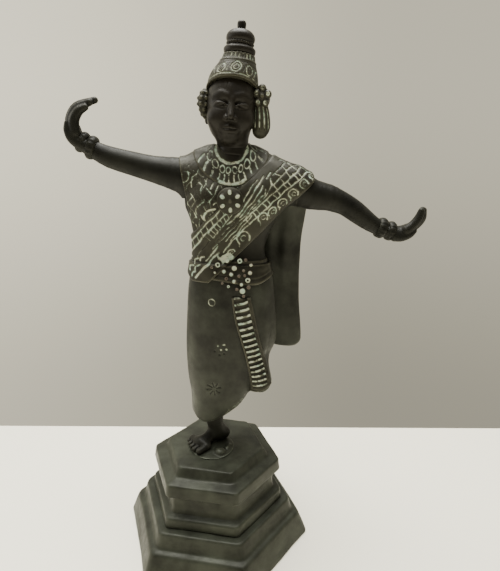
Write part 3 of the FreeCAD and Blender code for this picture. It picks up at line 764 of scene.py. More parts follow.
for place, level, radius in SCROLLS:
    # each scroll is a hook open at the lower edge, with a curl inside
    sash_lines.arc((place, level - 0.6), radius, -50, 205, width=0.6, turn=chance.uniform(-20, 20))
    sash_lines.arc((place + 0.2, level - 0.9), 0.42 * radius, 10, 290, width=0.42, strength=0.8,
                   turn=chance.uniform(-40, 40))
    sash_lines.line((place - radius, level - 1.6), (place - 1.3 * radius, level - 3.4),
                    width=0.45, strength=0.7)
# the loose folds that run down across the chest, and the lapels beside the medallion
sash_lines.lines(
    ([(22.9, 30.0), (15.7, 28.3), (7.5, 26.0), (2.2, 24.8), (-6.2, 22.5), (-12.6, 22.3), (-20.6, 22.7)],
     0.62, 1.0),
    ([(18.1, 26.0), (8.6, 22.8), (1.3, 21.7), (-9.8, 19.7)], 0.55, 0.95),
    ([(17.9, 31.7), (8.8, 29.7), (2.8, 28.2), (-0.7, 26.6)], 0.5, 0.9),
    ([(28.6, 28.6), (24.0, 26.8)], 0.6, 1.0),
    ([(23.8, 21.7), (15.6, 18.8), (6.3, 18.2), (1.0, 17.9)], 0.5, 0.9),
    ([(13.6, 20.6), (6.2, 20.0), (1.8, 19.4), (-9.1, 16.4), (-18.3, 15.2), (-30.3, 14.3)], 0.5, 0.85),
    ([(-2.7, 15.1), (-13.9, 13.2), (-26.9, 11.9), (-37.8, 9.2)], 0.5, 0.9),
    ([(-37.4, 15.3), (-52.3, 13.6)], 0.6, 1.0),
    ([(-40.6, 11.9), (-48.9, 11.1), (-61.9, 10.2), (-67.5, 9.6)], 0.85, 1.0),
    ([(-3.8, 18.3), (-16.7, 18.0), (-25.9, 17.2), (-41.8, 16.6)], 0.45, 0.8),
    ([(-7.2, 21.5), (-15.7, 20.6), (-24.3, 20.0), (-36.3, 19.0)], 0.42, 0.7),
    ([(-22, 25.0), (-34, 23.6), (-44, 22.0), (-58, 19.6)], 0.4, 0.55),
    ([(-12, 34.0), (-28, 33.6), (-42, 32.6), (-66, 30.0)], 0.6, 1.0),
    ([(-15, 28.8), (-37, 28.4), (-51, 26.8), (-66, 24.6)], 0.65, 1.0),
    ([(-13, 25.4), (-19, 24.4), (-36, 22.6)], 0.5, 0.85),
)
for upper, lower, count, width, strength, lean in (
    ([(-14, 33.8), (-60, 30.8)], [(-14, 28.8), (-60, 25.8)], 8, 0.48, 0.85, 0.03),
    ([(-14, 28.6), (-42, 28.0)], [(-14, 25.2), (-40, 22.4)], 8, 0.45, 0.8, 0.06),
    ([(30, 26.5), (6, 19.4)], [(26, 21.8), (3, 17.2)], 3, 0.5, 0.8, 0.0),
):
    sash_lines.rungs(upper, lower, count, width, strength, lean)
# small squiggles where the sash turns over the hip
for place, level, tall in ((-58.5, 19.1, 1.0), (-54.0, 16.9, 0.7), (-61.3, 14.6, 1.0), (-65.5, 17.6, 1.1),
                           (-62.5, 23.2, 0.8), (-66.5, 13.2, 0.7), (-68.0, 21.2, 0.8)):
    sash_lines.line((place - 2.6, level - tall), (place - 0.4, level + tall),
                    (place + 2.8, level - 0.3 * tall), width=0.65, strength=1.0, steps=4)
u, v, z = sash.points.T
weight = sash_lines.weight(*sash_place(u, over_shoulder(u, v, z)), waver=0.3)
ends = smoothstep(70.8, 68.6, u)
sash.engrave(broken(sash.points, weight * ends * (1 - 0.45 * (v > 4)), 53, 0.3), 0.6)
sash.dust(belly_patch(u, z, 256.4, 3.4) * (v < -5))
piece("shoulder_sash_cast", sash, figure_to_row, CLOTH)

reach = round_neck(*p)[0]
collar = mesh_of(trunk_space, cloth(COLLAR_THICK, overlap(reach - COLLAR_REACH, neckline), soft=1.0))
reach, turn = round_neck(*collar.points.T)
collar_lines = Engraving(55)
# Millimetres round the collar for each degree, halfway out.
ROUND = 0.33


def round_collar(count):
    """Evenly spaced places round the collar's pattern."""
    return (-180 + (np.arange(count) + 0.5) * 360 / count) * ROUND


for spot in round_collar(22):
    collar_lines.arc((spot, 18.9), 2.0, width=0.48, strength=chance.uniform(0.75, 1.0))
for spot in round_collar(30):
    end = chance.uniform(25.4, 27.2)
    collar_lines.line((spot, 22.0), (spot + chance.uniform(-0.4, 0.4), end),
                      width=chance.uniform(0.5, 0.75), strength=chance.uniform(0.7, 1.0), steps=2)
collar_lines.line((-60, 14.9), (0, 14.9), (60, 14.9), width=0.75, strength=1.0)
flared = reach + 0.06 * np.clip(np.abs(turn) - 60, 0, 60)
weight = collar_lines.weight(turn * ROUND, flared, waver=0.25)
scallop = smoothstep(25.8, 26.6, reach + 0.5 * ripple(collar.points, 6.0, 58))
scallop = scallop * smoothstep(36, 24, np.abs(turn))
fainter = 1 - 0.5 * smoothstep(50, 95, np.abs(turn))
collar.engrave(broken(collar.points, np.maximum(weight, scallop), 57, 0.3) * fainter, 0.4)
piece("collar_cast", collar, figure_to_row, CLOTH)

# ---------------------------------------------------------------- skirt, belt and buckle

SKIRT_TOP, SKIRT_WALL, RECESS_DEPTH = 248.2, 2.6, 7.0
skirt_space = Space((-36, -34, 103), (52, 40, 250), 0.6)
p = skirt_space.points
skirt = skirt_space.true_distance(skirt_field(p))
above_hem = p[2] - hem_height(p[0])
skirt_whole = both(both(skirt, -above_hem, 1.6), p[2] - SKIRT_TOP)
recess = both(skirt + SKIRT_WALL, above_hem - RECESS_DEPTH, 2.0)
skirt_mesh = mesh_of(skirt_space, without(skirt_whole, recess, 1.5))
u, v, z = skirt_mesh.points.T
side_folds = smoothstep(20, 36, u) * smoothstep(232, 215, z) * smoothstep(120, 150, z)
back_folds = smoothstep(2, 14, v) * smoothstep(108, 125, z) * smoothstep(246, 225, z)
reach = np.arctan2(u - 5.0, -v)
skirt_mesh.push(
    side_folds * (0.6 * np.sin(9.5 * reach + 0.03 * z) + 0.35 * np.sin(17 * reach - 0.02 * z))
    + back_folds * (0.9 * np.sin(8.0 * reach + 0.02 * (z - 180)) + 0.4 * np.sin(15 * reach + 0.4))
    + 0.2 * ripple(skirt_mesh.points, 34.0, 61)
)
skirt_lines = Engraving(63)
skirt_lines.arc((-8.1, 221.1), 2.7, width=0.42, strength=1.0)
for turn in turns(8, 20):
    spot = (-8.1 + 6.4 * math.cos(turn), 221.1 + 6.4 * math.sin(turn))
    skirt_lines.arc(spot, 1.4, squeeze=0.7, width=0.22, strength=0.38, turn=math.degrees(turn))
for across, level in ((-3.3, 185.4), (1.2, 186.5), (-1.1, 182.0), (3.1, 182.5)):
    skirt_lines.line((across, level), (across + 0.2, level), width=0.95, strength=1.0, steps=1)
for place in np.arange(0, 20, 3.4):
    skirt_lines.arc((3.0 + place, float(hem_height(3.0 + place)) + 2.8), 1.2, width=0.3, strength=0.7)
seam = [(u, float(hem_height(u)) + 1.6) for u in (-22, -14, -4, 4, 12, 20)]
skirt_lines.line(*seam, width=0.25, strength=0.3)
u, v, z = skirt_mesh.points.T
weight = skirt_lines.weight(u, z, waver=0.12) * (v < 0)
skirt_mesh.engrave(broken(skirt_mesh.points, weight, 65, 0.35), 0.35)
# cuts that hold no residue: the rosette low on the skirt, and specks by the knee
plain = Engraving(67)
for turn in turns(8, 12):
    near, far = ((-7.3 + out * math.cos(turn), 146 + out * math.sin(turn)) for out in (2.4, 5.6))
    plain.line(near, far, width=0.7, strength=1.0, steps=1)
for across, level in ((-6.3, 181.0), (-2.4, 177.7), (1.3, 178.8)):
    plain.line((across, level), (across + 0.3, level), width=0.8, strength=1.0, steps=1)
skirt_mesh.engrave(plain.weight(u, z) * (v < 0), 0.5, 0.0)
piece("skirt_cast", skirt_mesh, figure_to_row, SKIRT_SKIN)

hip_space = Space((-36, -36, 222), (50, 32, 262), 0.5)
p = hip_space.points
hips = hip_space.true_distance(np.minimum(skirt_field(p), trunk_field(p)))


def belt_foot(u):
    """The lower edge of the waist roll, which sags in front and climbs over the hip."""
    return curve(u, [-34, -20, 4, 18, 28.6, 38.9, 46], [241.5, 240, 237.5, 235.6, 235.0, 238.6, 242.0])


BELT_TOP, BELT_THICK = 253.0, 1.0
belt_band = overlap(p[2] - BELT_TOP, belt_foot(p[0]) - p[2])
belt_mesh = mesh_of(hip_space, cloth(BELT_THICK, belt_band, 1.5, 1.2, hips))
u, v, z = belt_mesh.points.T
rise = z - belt_foot(u)
belt_mesh.push(0.45 * np.exp(-((rise - 1.6) / 1.1) ** 2) - 0.3 * np.exp(-((rise - 4.2) / 0.9) ** 2)
               + 0.2 * np.sin(1.1 * rise + 0.08 * u) * smoothstep(3, 6, rise))
piece("waist_belt_cast", belt_mesh, figure_to_row, CLOTH)


def front_of(space, field, u, z):
    """How far to the front the surface of a field lies at a place."""
    i = int(round((u - space.low[0]) / space.step))
    k = int(round((z - space.low[2]) / space.step))
    row = field[i, :, k]
    j = int(np.argmax(row < 0))
    t = row[j - 1] / (row[j - 1] - row[j])
    return space.low[1] + (j - 1 + t) * space.step


def inside_outline(x, z, corners):
    """Distance to a convex outline, negative inside it."""
    field = None
    for (ax, az), (bx, bz) in zip(corners, corners[1:] + corners[:1]):
        way = math.hypot(bx - ax, bz - az)
        side = ((x - ax) * (bz - az) - (z - az) * (bx - ax)) / way
        field = side if field is None else both(field, side, 2.0)
    return field


BUCKLE = [(-11, 247.5), (2, 257.5), (22, 258), (26, 246), (24.5, 233), (20, 225.5), (10, 230)]
# Beads on the buckle: place, size and whether the pale residue fills it, rings it or has gone.
BEADS = [
    (13.7, 254.2, 2.1, "ring"), (9.5, 249.1, 2.2, "full"), (7.2, 244.7, 1.8, "full"),
    (9.3, 239.5, 1.8, "full"), (14.9, 237.2, 1.6, "full"), (21.5, 245.3, 1.9, "full"),
    (19.8, 240.2, 2.1, "ring"), (15.7, 232.2, 2.4, "full"), (-3.0, 251.6, 2.1, "ring"),
    (3.4, 241.4, 1.4, "bare"), (-5.4, 245.6, 1.2, "full"), (5.0, 235.6, 1.3, "ring"),
    (1.6, 246.6, 1.8, "full"), (22.4, 251.0, 1.6, "full"), (16.6, 247.2, 1.3, "bare"),
    (20.4, 234.8, 1.6, "bare"), (13.0, 243.4, 1.3, "bare"), (16.6, 228.2, 1.3, "bare"),
    (4.2, 254.4, 1.6, "full"), (11.4, 233.6, 1.3, "bare"), (18.2, 254.8, 1.4, "bare"),
    (0.4, 237.8, 1.1, "bare"), (17.4, 243.6, 1.2, "bare"), (-7.6, 249.2, 1.2, "bare"),
]
PLATE_THICK = 4.0
plate = cloth(PLATE_THICK, inside_outline(p[0], p[2], BUCKLE), 1.0, 1.4, hips)
for bead_u, bead_z, radius, fill in BEADS:
    bead_v = front_of(hip_space, hips - PLATE_THICK, bead_u, bead_z)
    plate = blend(plate, egg(p, (bead_u, bead_v + 0.2, bead_z), (radius, 1.1, radius)), 0.7)
    if fill == "ring":
        dimple = egg(p, (bead_u, bead_v - 1.0, bead_z), (0.45 * radius, 0.9, 0.45 * radius))
        plate = without(plate, dimple)
buckle_mesh = mesh_of(hip_space, plate)
u, v, z = buckle_mesh.points.T
buckle_lines = Engraving(71)
for (au, az), (bu, bz) in zip(BUCKLE[-2:] + BUCKLE[:1], BUCKLE[-1:] + BUCKLE[:2]):
    for t in (0.1, 0.42, 0.74):
        # a dash along the edge, drawn in a little towards the plate's middle
        dash = [(7 + 0.92 * (au + s * (bu - au) - 7), 243 + 0.92 * (az + s * (bz - az) - 243))
                for s in (t, t + 0.17)]
        buckle_lines.line(*dash, width=0.4, strength=chance.uniform(0.5, 1.0), steps=1)
buckle_lines.line((9.5, 249.1), (14.4, 248.9), (17.4, 247.4), width=0.4, strength=0.9)
buckle_lines.line((1.6, 246.6), (-0.6, 242.6), width=0.5, strength=0.8)
buckle_mesh.engrave(broken(buckle_mesh.points, buckle_lines.weight(u, z), 73, 0.4), 0.3)
pits = smoothstep(0.9, 1.6, ripple(buckle_mesh.points, 3.2, 79, 12))
buckle_mesh.push(-0.45 * pits)
tops = np.zeros(len(u))
for bead_u, bead_z, radius, fill in BEADS:
    gap = np.sqrt((u - bead_u) ** 2 + (z - bead_z) ** 2)
    if fill == "full":
        tops = np.maximum(tops, smoothstep(radius + 0.1, radius - 0.8, gap))
    elif fill == "ring":
        rim = smoothstep(radius + 0.1, radius - 0.4, gap) * smoothstep(0.25, 0.5, gap / radius)
        tops = np.maximum(tops, rim)
buckle_mesh.dust(np.maximum(tops, belly_patch(u, z, 255.4, 3.0)) * (v < -8))
piece("belt_buckle_cast", buckle_mesh, figure_to_row, BUCKLE_SKIN)

# ---------------------------------------------------------------- pleated panel and hanging end of the sash

# Stations of (z, middle, half width).
PANEL = [(226, 14.8, 7.4), (206, 18.4, 8.1), (190, 22.4, 7.7), (175, 26.6, 8.0), (160, 30.0, 8.5),
         (146, 32.4, 9.2)]
PANEL_TOP, PANEL_THICK = 226.0, 3.0


def panel_foot(u):
    """The panel's lower edge, which climbs to the outside."""
    across = u - 23.4
    return 142.6 + 0.14 * across + 0.019 * across ** 2


panel_space = Space((0, -38, 136), (52, -2, 230), 0.45)
p = panel_space.points
panel_base = panel_space.true_distance(skirt_field(p))
heights, middles, widths = rows_of(PANEL)
panel_edge = np.abs(p[0] - curve(p[2], heights, middles)) - curve(p[2], heights, widths)
panel_region = overlap(panel_edge, panel_foot(p[0]) - p[2], p[2] - PANEL_TOP, p[1] + 3.0)
panel_mesh = mesh_of(panel_space, cloth(PANEL_THICK, panel_region, 1.2, 1.2, panel_base))
u, v, z = panel_mesh.points.T
across_panel = (u - curve(z, heights, middles)) / curve(z, heights, widths)
along_panel = z - 2.0 * across_panel - 0.7 * across_panel ** 2
from_first = along_panel - 146.5
rib = 0.5 + 0.5 * np.cos(2 * math.pi * from_first / (4.1 + 0.008 * from_first))
ribbed = smoothstep(0.80, 0.62, np.abs(across_panel + 0.08))
ribbed = ribbed * smoothstep(2.0, 5.0, z - panel_foot(u)) * (v < -4)
panel_mesh.push(ribbed * (1.0 * rib ** 1.5 - 0.75))
border = Engraving(81)
for level in np.arange(146, 226, 5.2):
    end = (0.80 + chance.uniform(-0.03, 0.05), level + chance.uniform(1.0, 3.2))
    border.line((0.80, level), end, width=0.05, strength=chance.uniform(0.1, 0.5), steps=1)
worn_ribs = smoothstep(0.50, 0.85, rib) * ribbed
panel_mesh.dust(broken(panel_mesh.points, worn_ribs, 83, 0.5))
panel_mesh.engrave(border.weight(across_panel, z, soft=0.04, waver=0.0) * (v < -4), 0.2)
piece("skirt_pleats_cast", panel_mesh, figure_to_row, CLOTH)

# Stations of (z, middle, depth, half width).
TAIL = [(162, 55, 22, 15.6), (176, 54, 22.4, 16.8), (200, 51, 23, 17.6), (240, 46.5, 24.5, 20.8),
        (270, 46.5, 24, 22.0), (292, 48.5, 21, 22.4), (306, 48.5, 16, 22.4)]
TAIL_TOP, TAIL_THICK = 304.0, 3.2
tail_space = Space((20, 6, 160), (76, 38, 310), 0.6)
p = tail_space.points
tail_u, tail_v, tail_wide = (curve(p[2], rows_of(TAIL)[0], row) for row in rows_of(TAIL)[1:])
tail_across = (p[0] - tail_u) / tail_wide
tail_fold = 1.3 * np.sin(4.2 * tail_across + 0.012 * p[2]) + 0.7 * np.sin(9.0 * tail_across + 1.0)
tail_fold = tail_fold * smoothstep(215, 262, p[2]) + 1.6 * tail_across ** 2
tail_depth = (p[1] - tail_v - tail_fold) / TAIL_THICK
tail_foot = 167.0 + 5.5 * np.clip(np.abs(tail_across), 0, 1.2) ** 3.5 - 1.5 * tail_across
tail_side = (np.abs(tail_across) ** 6 + np.abs(tail_depth) ** 2.4) ** (1 / 2.4) - 1
tail_body = tail_space.true_distance(tail_side * TAIL_THICK)
tail_body = both(both(tail_body, tail_foot - p[2], 3.0), p[2] - TAIL_TOP, 3.0)
tail_mesh = mesh_of(tail_space, tail_body)
tail_mesh.push(0.15 * ripple(tail_mesh.points, 26.0, 91))
piece("sash_tail_cast", tail_mesh, figure_to_row, SKIRT_SKIN)

# ---------------------------------------------------------------- hands

FINGER_SIZES = (1.22, 1.16, 1.04, 0.78)


def hand(name, low, high, palm, fingers, thumb):
    """A cupped hand: a flattened palm, four fingers and a thumb."""
    space = Space(low, high, 0.36)
    p = space.points
    squeezed = (p[0], 0.74 * p[1], p[2])
    field = limb(squeezed, palm)
    for finger in fingers:
        field = blend(field, limb(p, finger), 1.4)
    field = blend(field, limb(p, thumb), 1.8)
    piece(name, mesh_of(space, field), figure_to_row, BODY)


def finger(root, middle, end, tip, v_root, v_tip, thick):
    """Four stations from the knuckle to the tip, in one plane."""
    rows = zip((root, middle, end, tip), np.linspace(v_root, v_tip, 4), FINGER_SIZES)
    return [(u, v, z, thick * size) for (u, z), v, size in rows]


hand("hand_right_cast", (-121, -14, 328), (-84, 14, 378),
     [(-98, 0, 336.4, 5.6), (-103.2, 0, 339.6, 5.8), (-107.2, 0, 344.0, 5.8), (-108.0, 0, 349.4, 4.8)],
     [finger((-105.4, 346), (-105.6, 354.0), (-102.0, 360.4), (-96.9, 363.4), -5.2, -5.6, 3.1),
      finger((-107.4, 347), (-108.2, 355.4), (-103.8, 363.0), (-94.6, 367.2), -1.8, -2.2, 3.2),
      finger((-109.4, 347), (-110.6, 355.6), (-104.8, 364.8), (-91.6, 369.2), 1.8, 1.4, 3.0),
      finger((-110.4, 346), (-110.8, 354.6), (-105.8, 363.4), (-97.4, 368.6), 5.2, 4.8, 2.7)],
     [(-104.0, -4.4, 338.6, 3.6), (-108.6, -5.2, 342.4, 3.2), (-110.9, -5.2, 347.8, 2.7),
      (-110.8, -4.6, 352.6, 2.1)])
hand("hand_left_cast", (126, -14, 260), (171, 14, 302),
     [(133, 0, 274.8, 5.4), (139, 0, 273.2, 5.6), (145.5, 0, 273.8, 5.6), (150.4, 0, 276.4, 4.7)],
     [finger((146.5, 276.4), (151.4, 280.4), (155.0, 285.6), (156.9, 291.6), -5.2, -5.6, 3.1),
      finger((147.5, 275.6), (153.6, 279.6), (158.2, 285.4), (159.2, 292.0), -1.8, -2.2, 3.2),
      finger((148.5, 274.6), (155.8, 278.8), (161.0, 284.8), (161.8, 291.4), 1.8, 1.4, 3.1),
      finger((148.5, 273.8), (155.8, 277.6), (161.2, 283.4), (162.7, 289.0), 5.2, 4.8, 2.7)],
     [(138.0, -4.4, 270.6, 3.6), (143.4, -5.2, 270.4, 3.2), (149.4, -5.2, 272.4, 2.7),
      (153.2, -4.6, 275.4, 2.1)])


RIBS = 15


def bangle(centre, axis, radius, half_wide, half_thick):
    """A ribbed ring round a limb."""
    axis = np.array(axis, float) / np.linalg.norm(axis)
    across_a = np.cross(axis, (0, 1, 0) if abs(axis[1]) < 0.8 else (0, 0, 1))
    across_a /= np.linalg.norm(across_a)
    across_b = np.cross(axis, across_a)
    t = np.linspace(0, 2 * math.pi, 22, endpoint=False)
    rows = []
    for turn in np.linspace(0, 2 * math.pi, 8 * RIBS, endpoint=False):
        out = math.cos(turn) * across_a + math.sin(turn) * across_b
        swell = 1 + 0.07 * math.cos(RIBS * turn) + 0.08 * math.sin(3 * turn + centre[0])
        rows.append(np.array(centre) + np.outer(radius + half_thick * swell * np.cos(t), out)
                    + np.outer(half_wide * np.sin(t), axis))
    return ring_loop(rows)


for name, rings, material in (
    ("bangles_right_cast", [((-102.4, 0, 340.0), (13.3, 0, -7.9), 5.9, 2.9, 2.0),
                            ((-95.9, 0, 336.2), (16.3, 0, -5.5), 6.5, 3.3, 2.2)], BODY),
    ("bangles_left_cast", [((127.6, 0, 277.2), (14.8, 0, -4.9), 6.3, 3.6, 2.0),
                           ((135.4, 0, 274.9), (14.4, 0, -3.6), 5.9, 3.2, 1.9)], BODY),
    ("raised_ankle_ring_cast", [((19.4, 43.4, 179.4), (-0.3, 0.95, 0.08), 7.8, 3.2, 2.2)], CLOTH),
):
    piece(name, joined(*[bangle(*ring) for ring in rings]), figure_to_row, material)

# ---------------------------------------------------------------- legs and feet

leg_space = Space((-38, -32, 83), (16, 16, 136), 0.42)
p = leg_space.points
TOES, FOOT_WAY, FOOT_SIDE = np.array([-20.5, -8.6]), np.array([-0.84, -0.55]), np.array([0.64, -0.77])
leg = limb(p, [(-4, 1.0, 91, 6.6), (-6.5, -1, 101, 6.9), (-8, -0.5, 112, 8.4), (-6, 1, 134, 10)])
leg = blend(leg, egg(p, (0.2, 3.2, 90.6), (5.6, 5.4, 5.2)), 4)
instep = limb(p, [(-5, 0.5, 95, 5.6), (-13, -5.5, 91.6, 5.2), (-19, -9.6, 89.6, 4.4)])
ball = limb(p, [(-14.5, -15.0, 89.0, 4.0), (-21.5, -9.0, 89.0, 4.2), (-27.0, -2.5, 88.6, 3.2)])
leg = blend(blend(leg, instep, 5), ball, 5)
for out, side, length, thick in ((4.0, 9.6, 8.0, 3.0), (5.6, 4.4, 7.0, 2.3), (5.2, -0.4, 6.2, 2.15),
                                 (4.2, -5.0, 5.4, 2.0), (2.8, -9.2, 4.4, 1.9)):
    start = TOES + (out - length * 0.5) * FOOT_WAY + side * FOOT_SIDE
    end = TOES + (out + length * 0.45) * FOOT_WAY + side * FOOT_SIDE
    toe = limb(p, [(*start, 89.0, thick), (*end, 87.4, thick * 0.92)])
    leg = blend(leg, toe, 0.9)
leg = both(leg, STAND_TOP + 1.0 - p[2], 0.6)
piece("standing_leg_cast", mesh_of(leg_space, leg), figure_to_row, BODY)

raised_space = Space((4, 0, 144), (46, 68, 198), 0.5)
p = raised_space.points
raised = limb(p, [(32, 8, 181, 10.6), (25, 26, 180, 10.4), (20.5, 40, 179, 8.0), (18, 51, 179.4, 6.0)])
raised = blend(raised, egg(p, (17.6, 56.0, 182.6), (5.2, 5.4, 5.4)), 4)
raised = blend(raised, limb(p, [(18, 53.5, 176, 5.6), (18.4, 55.0, 166, 5.4), (18.6, 54.4, 159.5, 4.4)]), 4)
for side, length, thick in ((4.6, 7.0, 2.5), (1.4, 6.2, 2.0), (-1.4, 5.6, 1.9), (-4.0, 4.8, 1.8),
                            (-6.2, 3.8, 1.7)):
    toe = limb(p, [(18.6 + side, 54.6, 159.5, thick),
                   (18.6 + 1.1 * side, 56.4, 158.0 - length, thick * 0.85)])
    raised = blend(raised, toe, 0.9)
raised = both(raised, 8.0 - p[1])
piece("raised_leg_cast", mesh_of(raised_space, raised), figure_to_row, BODY)

mound_space = Space((-34, -34, 82.5), (16, 16, 92), 0.5)
p = mound_space.points
mound = egg(p, (-9.5, -8.5, 83.0), (20.5, 20.5, 3.6))
mound = blend(mound, egg(p, (-2.6, -19.0, 85.6), (4.8, 4.2, 3.2)), 1.6)
mound = blend(mound, limb(p, [(3.2, -13.6, 85.4, 1.6), (5.8, -9.0, 84.8, 1.4)]), 1.6)
mound_mesh = mesh_of(mound_space, both(mound, STAND_TOP - p[2], 0.3))
mound_mesh.push(0.22 * ripple(mound_mesh.points, 9.0, 101) * (mound_mesh.points[:, 2] > STAND_TOP + 0.4))
piece("foot_mound_cast", mound_mesh, figure_to_row, STAND)

# ---------------------------------------------------------------- head

head_space = Space((-22, -28, -14), (22, 21, 59), 0.34)
p = head_space.points
mirror = (np.abs(p[0]), p[1], p[2])


SKULL = (0, -1, 33), (18.3, 19.4, 25.0)


def skin_at(a, h, lift=0.0):
    """A place on the front of the plain skull, lifted off it or sunk in."""
    return (a, -1.2 - 19.0 * math.sqrt(max(0.02, 1 - (a / 18.3) ** 2 - ((h - 31) / 27) ** 2)) - lift, h)


# jaw, chin and cheeks on the round of the skull, and the neck below
skull = egg(p, *SKULL)
skull = blend(skull, egg(p, (0, -7.0, 19), (14.2, 12.6, 13.6)), 7)
skull = blend(skull, egg(p, (0, -13.6, 9.0), (5.4, 5.0, 4.4)), 4)
skull = blend(skull, egg(mirror, (9.2, -12.2, 22.0), (6.8, 6.4, 6.4)), 5)
skull = blend(skull, limb(p, [(3.8, -0.5, -14, 12.9), (3.8, -0.8, -2, 12.1), (2.6, -0.5, 14, 11.4)]), 4)
# sockets with eyeballs in them, then lids and brows as ridges through (a, h, lift, radius)
skull = without(skull, egg(mirror, skin_at(7.2, 31.0, 2.4), (5.6, 3.6, 2.7)), 2.4)
skull = blend(skull, egg(mirror, skin_at(7.2, 30.7, -2.9), (4.7, 3.4, 2.5)), 0.9)
UPPER_LID = [(3.1, 29.8, 0.0, 0.45), (5.0, 31.0, 0.4, 0.6), (7.6, 31.4, 0.5, 0.66), (10.2, 30.9, 0.25, 0.6),
             (12.2, 29.9, -0.2, 0.4)]
LOWER_LID = [(3.4, 29.5, -0.1, 0.35), (7.2, 28.7, 0.05, 0.45), (11.4, 29.5, -0.2, 0.35)]
BROW = [(3.2, 36.4, -0.8, 0.8), (7.8, 37.6, -0.7, 0.9), (12.6, 35.8, -0.9, 0.7)]
for ridge, soft in ((UPPER_LID, 1.2), (LOWER_LID, 1.3), (BROW, 3.2)):
    skull = blend(skull, limb(mirror, [(*skin_at(*place), radius) for *place, radius in ridge]), soft)
# nose, its wings and nostrils, and the groove below it
skull = blend(skull, limb(p, [(0, -18.9, 34, 1.5), (0, -21.6, 27, 1.9), (0, -23.0, 22.9, 2.4)]), 2.2)
skull = blend(skull, egg(mirror, (2.9, -20.2, 22.0), (1.9, 2.2, 1.8)), 1.0)
skull = without(skull, egg(mirror, (1.6, -22.0, 20.2), (0.9, 1.1, 0.7)), 0.6)
skull = without(skull, limb(p, [(0, -21.3, 19.4, 0.35), (0, -20.8, 17.8, 0.4)]), 1.2)
# mouth: the swell behind it, the two lips and the line between them
skull = blend(skull, egg(p, (0, -17.6, 14.8), (6.4, 3.0, 4.2)), 2.5)
for lips, join, soft in (
    ([(0.9, -20.6, 16.2, 0.95), (3.2, -19.8, 15.9, 0.8), (5.4, -17.9, 15.2, 0.45)], blend, 1.2),
    ([(0, -20.3, 13.3, 1.15), (2.6, -19.6, 13.5, 0.95), (4.8, -18.1, 14.5, 0.5)], blend, 1.4),
    ([(0, -21.6, 14.75, 0.32), (3.0, -20.7, 14.75, 0.3), (5.8, -18.6, 15.1, 0.3)], without, 0.5),
):
    skull = join(skull, limb(mirror, lips), soft)
# ears, with their hollows and lobes
ear = egg(mirror, (17.4, 2.0, 28), (2.2, 4.2, 6.8))
skull = blend(skull, without(ear, egg(mirror, (19.4, 1.4, 29.5), (1.4, 2.4, 3.8)), 0.8), 1.0)
skull = blend(skull, egg(mirror, (17.0, 0.5, 21.0), (1.8, 2.2, 3.0)), 1.2)
head_mesh = mesh_of(head_space, both(skull, -13.0 - p[2]))
a, b, h = head_mesh.points.T
hair = smoothstep(4.5, 7.5, b) * smoothstep(2, 8, h) * smoothstep(50, 44, h)
head_mesh.push(hair * (0.55 + 0.35 * np.sin(1.9 * (a + 0.15 * a * (h - 20) / 20))))
throat = smoothstep(9, 3, h) * smoothstep(-12, -8, h)
creases = sum(np.exp(-((h - level) / 0.6) ** 2) for level in (-2.0, 2.6 + 0.05 * a * a / 6))
head_mesh.push(-0.3 * throat * creases)
piece("head_cast", head_mesh, head_to_row, FACE)

# ---------------------------------------------------------------- crown

CONE = [(40, 0, -1.4, 17.8, 19.0), (50, 0, -1.6, 17.6, 18.4), (54, 0, -1.7, 16.4, 17.0),
        (58, 0, -1.8, 14.4, 15.0), (63, 0, -2, 12.0, 12.2), (67.5, 0, -2, 11.0, 11.0)]
CROWN_TOP, CAP_THICK = 66.0, 1.7
CROWN_AXIS = (0, -2)


def brim(b):
    """The crown's lower edge, lower at the back than over the forehead."""
    return 42.0 - 0.36 * b


crown_space = Space((-24, -26, 32), (24, 23, 70), 0.36)
p = crown_space.points
cap = egg(p, *SKULL)
crown = blend(crown_space.true_distance(column(p, CONE, 20, CROWN_TOP)), cap - CAP_THICK, 3.0)
crown = both(crown, p[2] - CROWN_TOP)
roll = np.sqrt((p[2] - brim(p[1]) - 1.0) ** 2 + (cap - CAP_THICK) ** 2) - 0.9
crown = both(crown, brim(p[1]) - p[2], 0.8)
crown = blend(crown, roll, 0.6)
crown = without(crown, cap - 0.1, 0.4)
crown_mesh = mesh_of(crown_space, crown)
a, b, h = crown_mesh.points.T
BAND_RADIUS = 18.0
round_crown = np.arctan2(a, -(b + 1.6)) * BAND_RADIUS
above_brim = h - brim(b)
crown_lines = Engraving(111)
half_turn = BAND_RADIUS * math.pi
for level, strength in ((0.2, 0.5), (2.3, 0.95), (11.6, 0.35)):
    crown_lines.line((-half_turn, level), (half_turn, level), width=0.4, strength=strength)
crown_lines.arc((0, 7.6), 3.9, width=0.5, strength=1.0)
crown_lines.arc((0, 7.6), 1.9, width=0.4, strength=0.9)
for side in (-1, 1):
    for place in range(1, 5):
        x = side * (0.8 + 10.6 * place)
        crown_lines.arc((x, 7.2), 3.0, squeeze=1.25, width=0.45, strength=0.9, turn=-25 * side)
        crown_lines.arc((x, 7.2), 1.1, squeeze=1.3, width=0.3, strength=0.5)
        crown_lines.line((x - side * 5.4, 4.2), (x - side * 4.8, 7.4), (x - side * 5.6, 10.4),
                         width=0.35, strength=0.7)
weight = crown_lines.weight(round_crown, above_brim) * (above_brim > 0.3) * (h < 61)
ticks = smoothstep(0.25, 0.75, np.cos(np.arctan2(a, -(b + 2)) * 26))
ticks = ticks * smoothstep(61.6, 62.4, h) * smoothstep(66, 65, h)
crown_mesh.engrave(broken(crown_mesh.points, np.maximum(weight, 0.8 * ticks), 113, 0.45), 0.45)
crown_mesh.push(0.35 * np.exp(-((h - 61.2) / 0.7) ** 2))
piece("crown_cast", crown_mesh, head_to_row, CLOTH)


